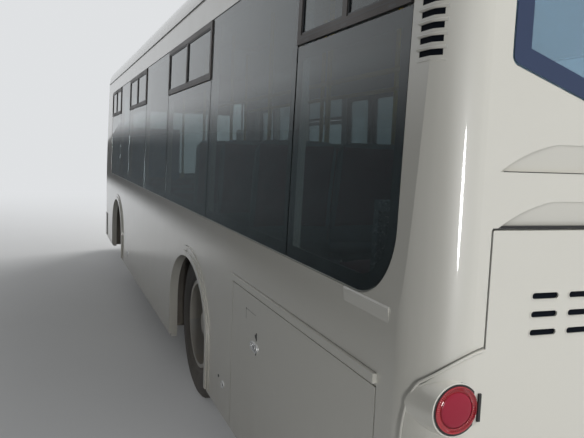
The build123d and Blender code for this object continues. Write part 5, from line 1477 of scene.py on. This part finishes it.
pale_floor, tree, shader = finish("pale_floor", Roughness=0.85, Specular_IOR_Level=0.2)
where = spot_on_object(tree)
tone = noise(tree, where, 0.6, 4.0)
feed(tree, Base_Color=blended(tree, tone, rgb(0.74, 0.74, 0.73), rgb(0.66, 0.66, 0.65)))
distance = put(tree, "VectorMath", {"operation": "LENGTH"}, _0=where).outputs["Value"]
fade = put(tree, "MapRange", {"interpolation_type": "SMOOTHERSTEP"}, Value=distance, From_Min=FADE_FROM,
           From_Max=FADE_TO).outputs[0]
far_light = put(tree, "Emission", Color=BACKDROP, Strength=seen_strength(tree)).outputs[0]
mixed = put(tree, "MixShader", _0=fade, _1=tree.nodes["Principled BSDF"].outputs[0], _2=far_light)
tree.links.new(mixed.outputs[0], tree.nodes["Material Output"].inputs["Surface"])
corners = np.array([(-1, -1, 0), (1, -1, 0), (1, 1, 0), (-1, 1, 0)]) * FLOOR_REACH
stage_piece("floor_plane", corners, np.array([(0, 1, 2, 3)]), pale_floor)

# %% Board, world and lamps
BOARD_FOOT_Y = 2.65
BOARD_TOP_Y = 4.60
BOARD_X = (-9.5, 34.0)
BOARD_TOP = 3.45
# Each line: axis, where the board is clear and where it is fully dark.
BOARD_FADES = (("Z", 0.0, 0.4), ("Z", 3.4, 1.7), ("X", -9.4, -6.2))
board_black = moulded("board_black", rgb(0.020, 0.022, 0.026), 0.85, 20.0, 0.0002, dust=0.0)
tree = board_black.node_tree
where = put(tree, "SeparateXYZ", _0=spot_on_object(tree)).outputs
solid_share = 1.0
for axis, clear_at, dark_at in BOARD_FADES:
    share = put(tree, "MapRange", {"interpolation_type": "SMOOTHSTEP"}, Value=where[axis], From_Min=clear_at,
                From_Max=dark_at).outputs[0]
    solid_share = calc(tree, "MULTIPLY", share, solid_share)
feed(tree, Alpha=solid_share)
corners = np.array([(BOARD_X[0], BOARD_FOOT_Y, 0), (BOARD_X[1], BOARD_FOOT_Y, 0),
                    (BOARD_X[1], BOARD_TOP_Y, BOARD_TOP), (BOARD_X[0], BOARD_TOP_Y, BOARD_TOP)])
board = stage_piece("dark_board", corners, np.array([(0, 1, 2, 3)]), board_black)
for ray in ("camera", "diffuse", "shadow", "transmission"):
    setattr(board, "visible_" + ray, False)

world = bpy.data.worlds.new("studio")
bpy.context.scene.world = world
world.use_nodes = True
back = world.node_tree.nodes["Background"]
back.inputs["Color"].default_value = BACKDROP
world.node_tree.links.new(seen_strength(world.node_tree), back.inputs["Strength"])

# Columns: name, place, aim, width, height, power.
LAMPS = (
    ("key", (-9.5, -4.5, 8.2), (-4.7, 0.0, 1.3), 5.0, 5.0, 890.0),
    ("fill", (-3.0, 8.0, 8.0), (-1.0, 1.0, 1.2), 6.0, 6.0, 30.0),
    ("front", (11.0, -7.0, 7.0), (3.0, 0.0, 1.2), 7.0, 7.0, 1400.0),
    ("corner_strip", (-10.50, 2.52, 1.20), (-4.70, 1.16, 1.60), 0.50, 1.72, 28.0),
)
for name, spot, aim, width, tall, power in LAMPS:
    light = bpy.data.lights.new(name, "AREA")
    light.shape = "ELLIPSE" if name == "corner_strip" else "RECTANGLE"
    light.size = width
    light.size_y = tall
    light.energy = power
    light.spread = radians(100 if name == "corner_strip" else 180)
    lamp = bpy.data.objects.new(name, light)
    back_axis = (Vector(spot) - Vector(aim)).normalized()
    lamp.matrix_world = Matrix.Translation(spot) @ back_axis.to_track_quat("Z", "Y").to_matrix().to_4x4()
    lamp.visible_camera = False
    lamp.visible_glossy = name == "corner_strip"
    bpy.context.scene.collection.objects.link(lamp)
print("lamps", len(LAMPS))
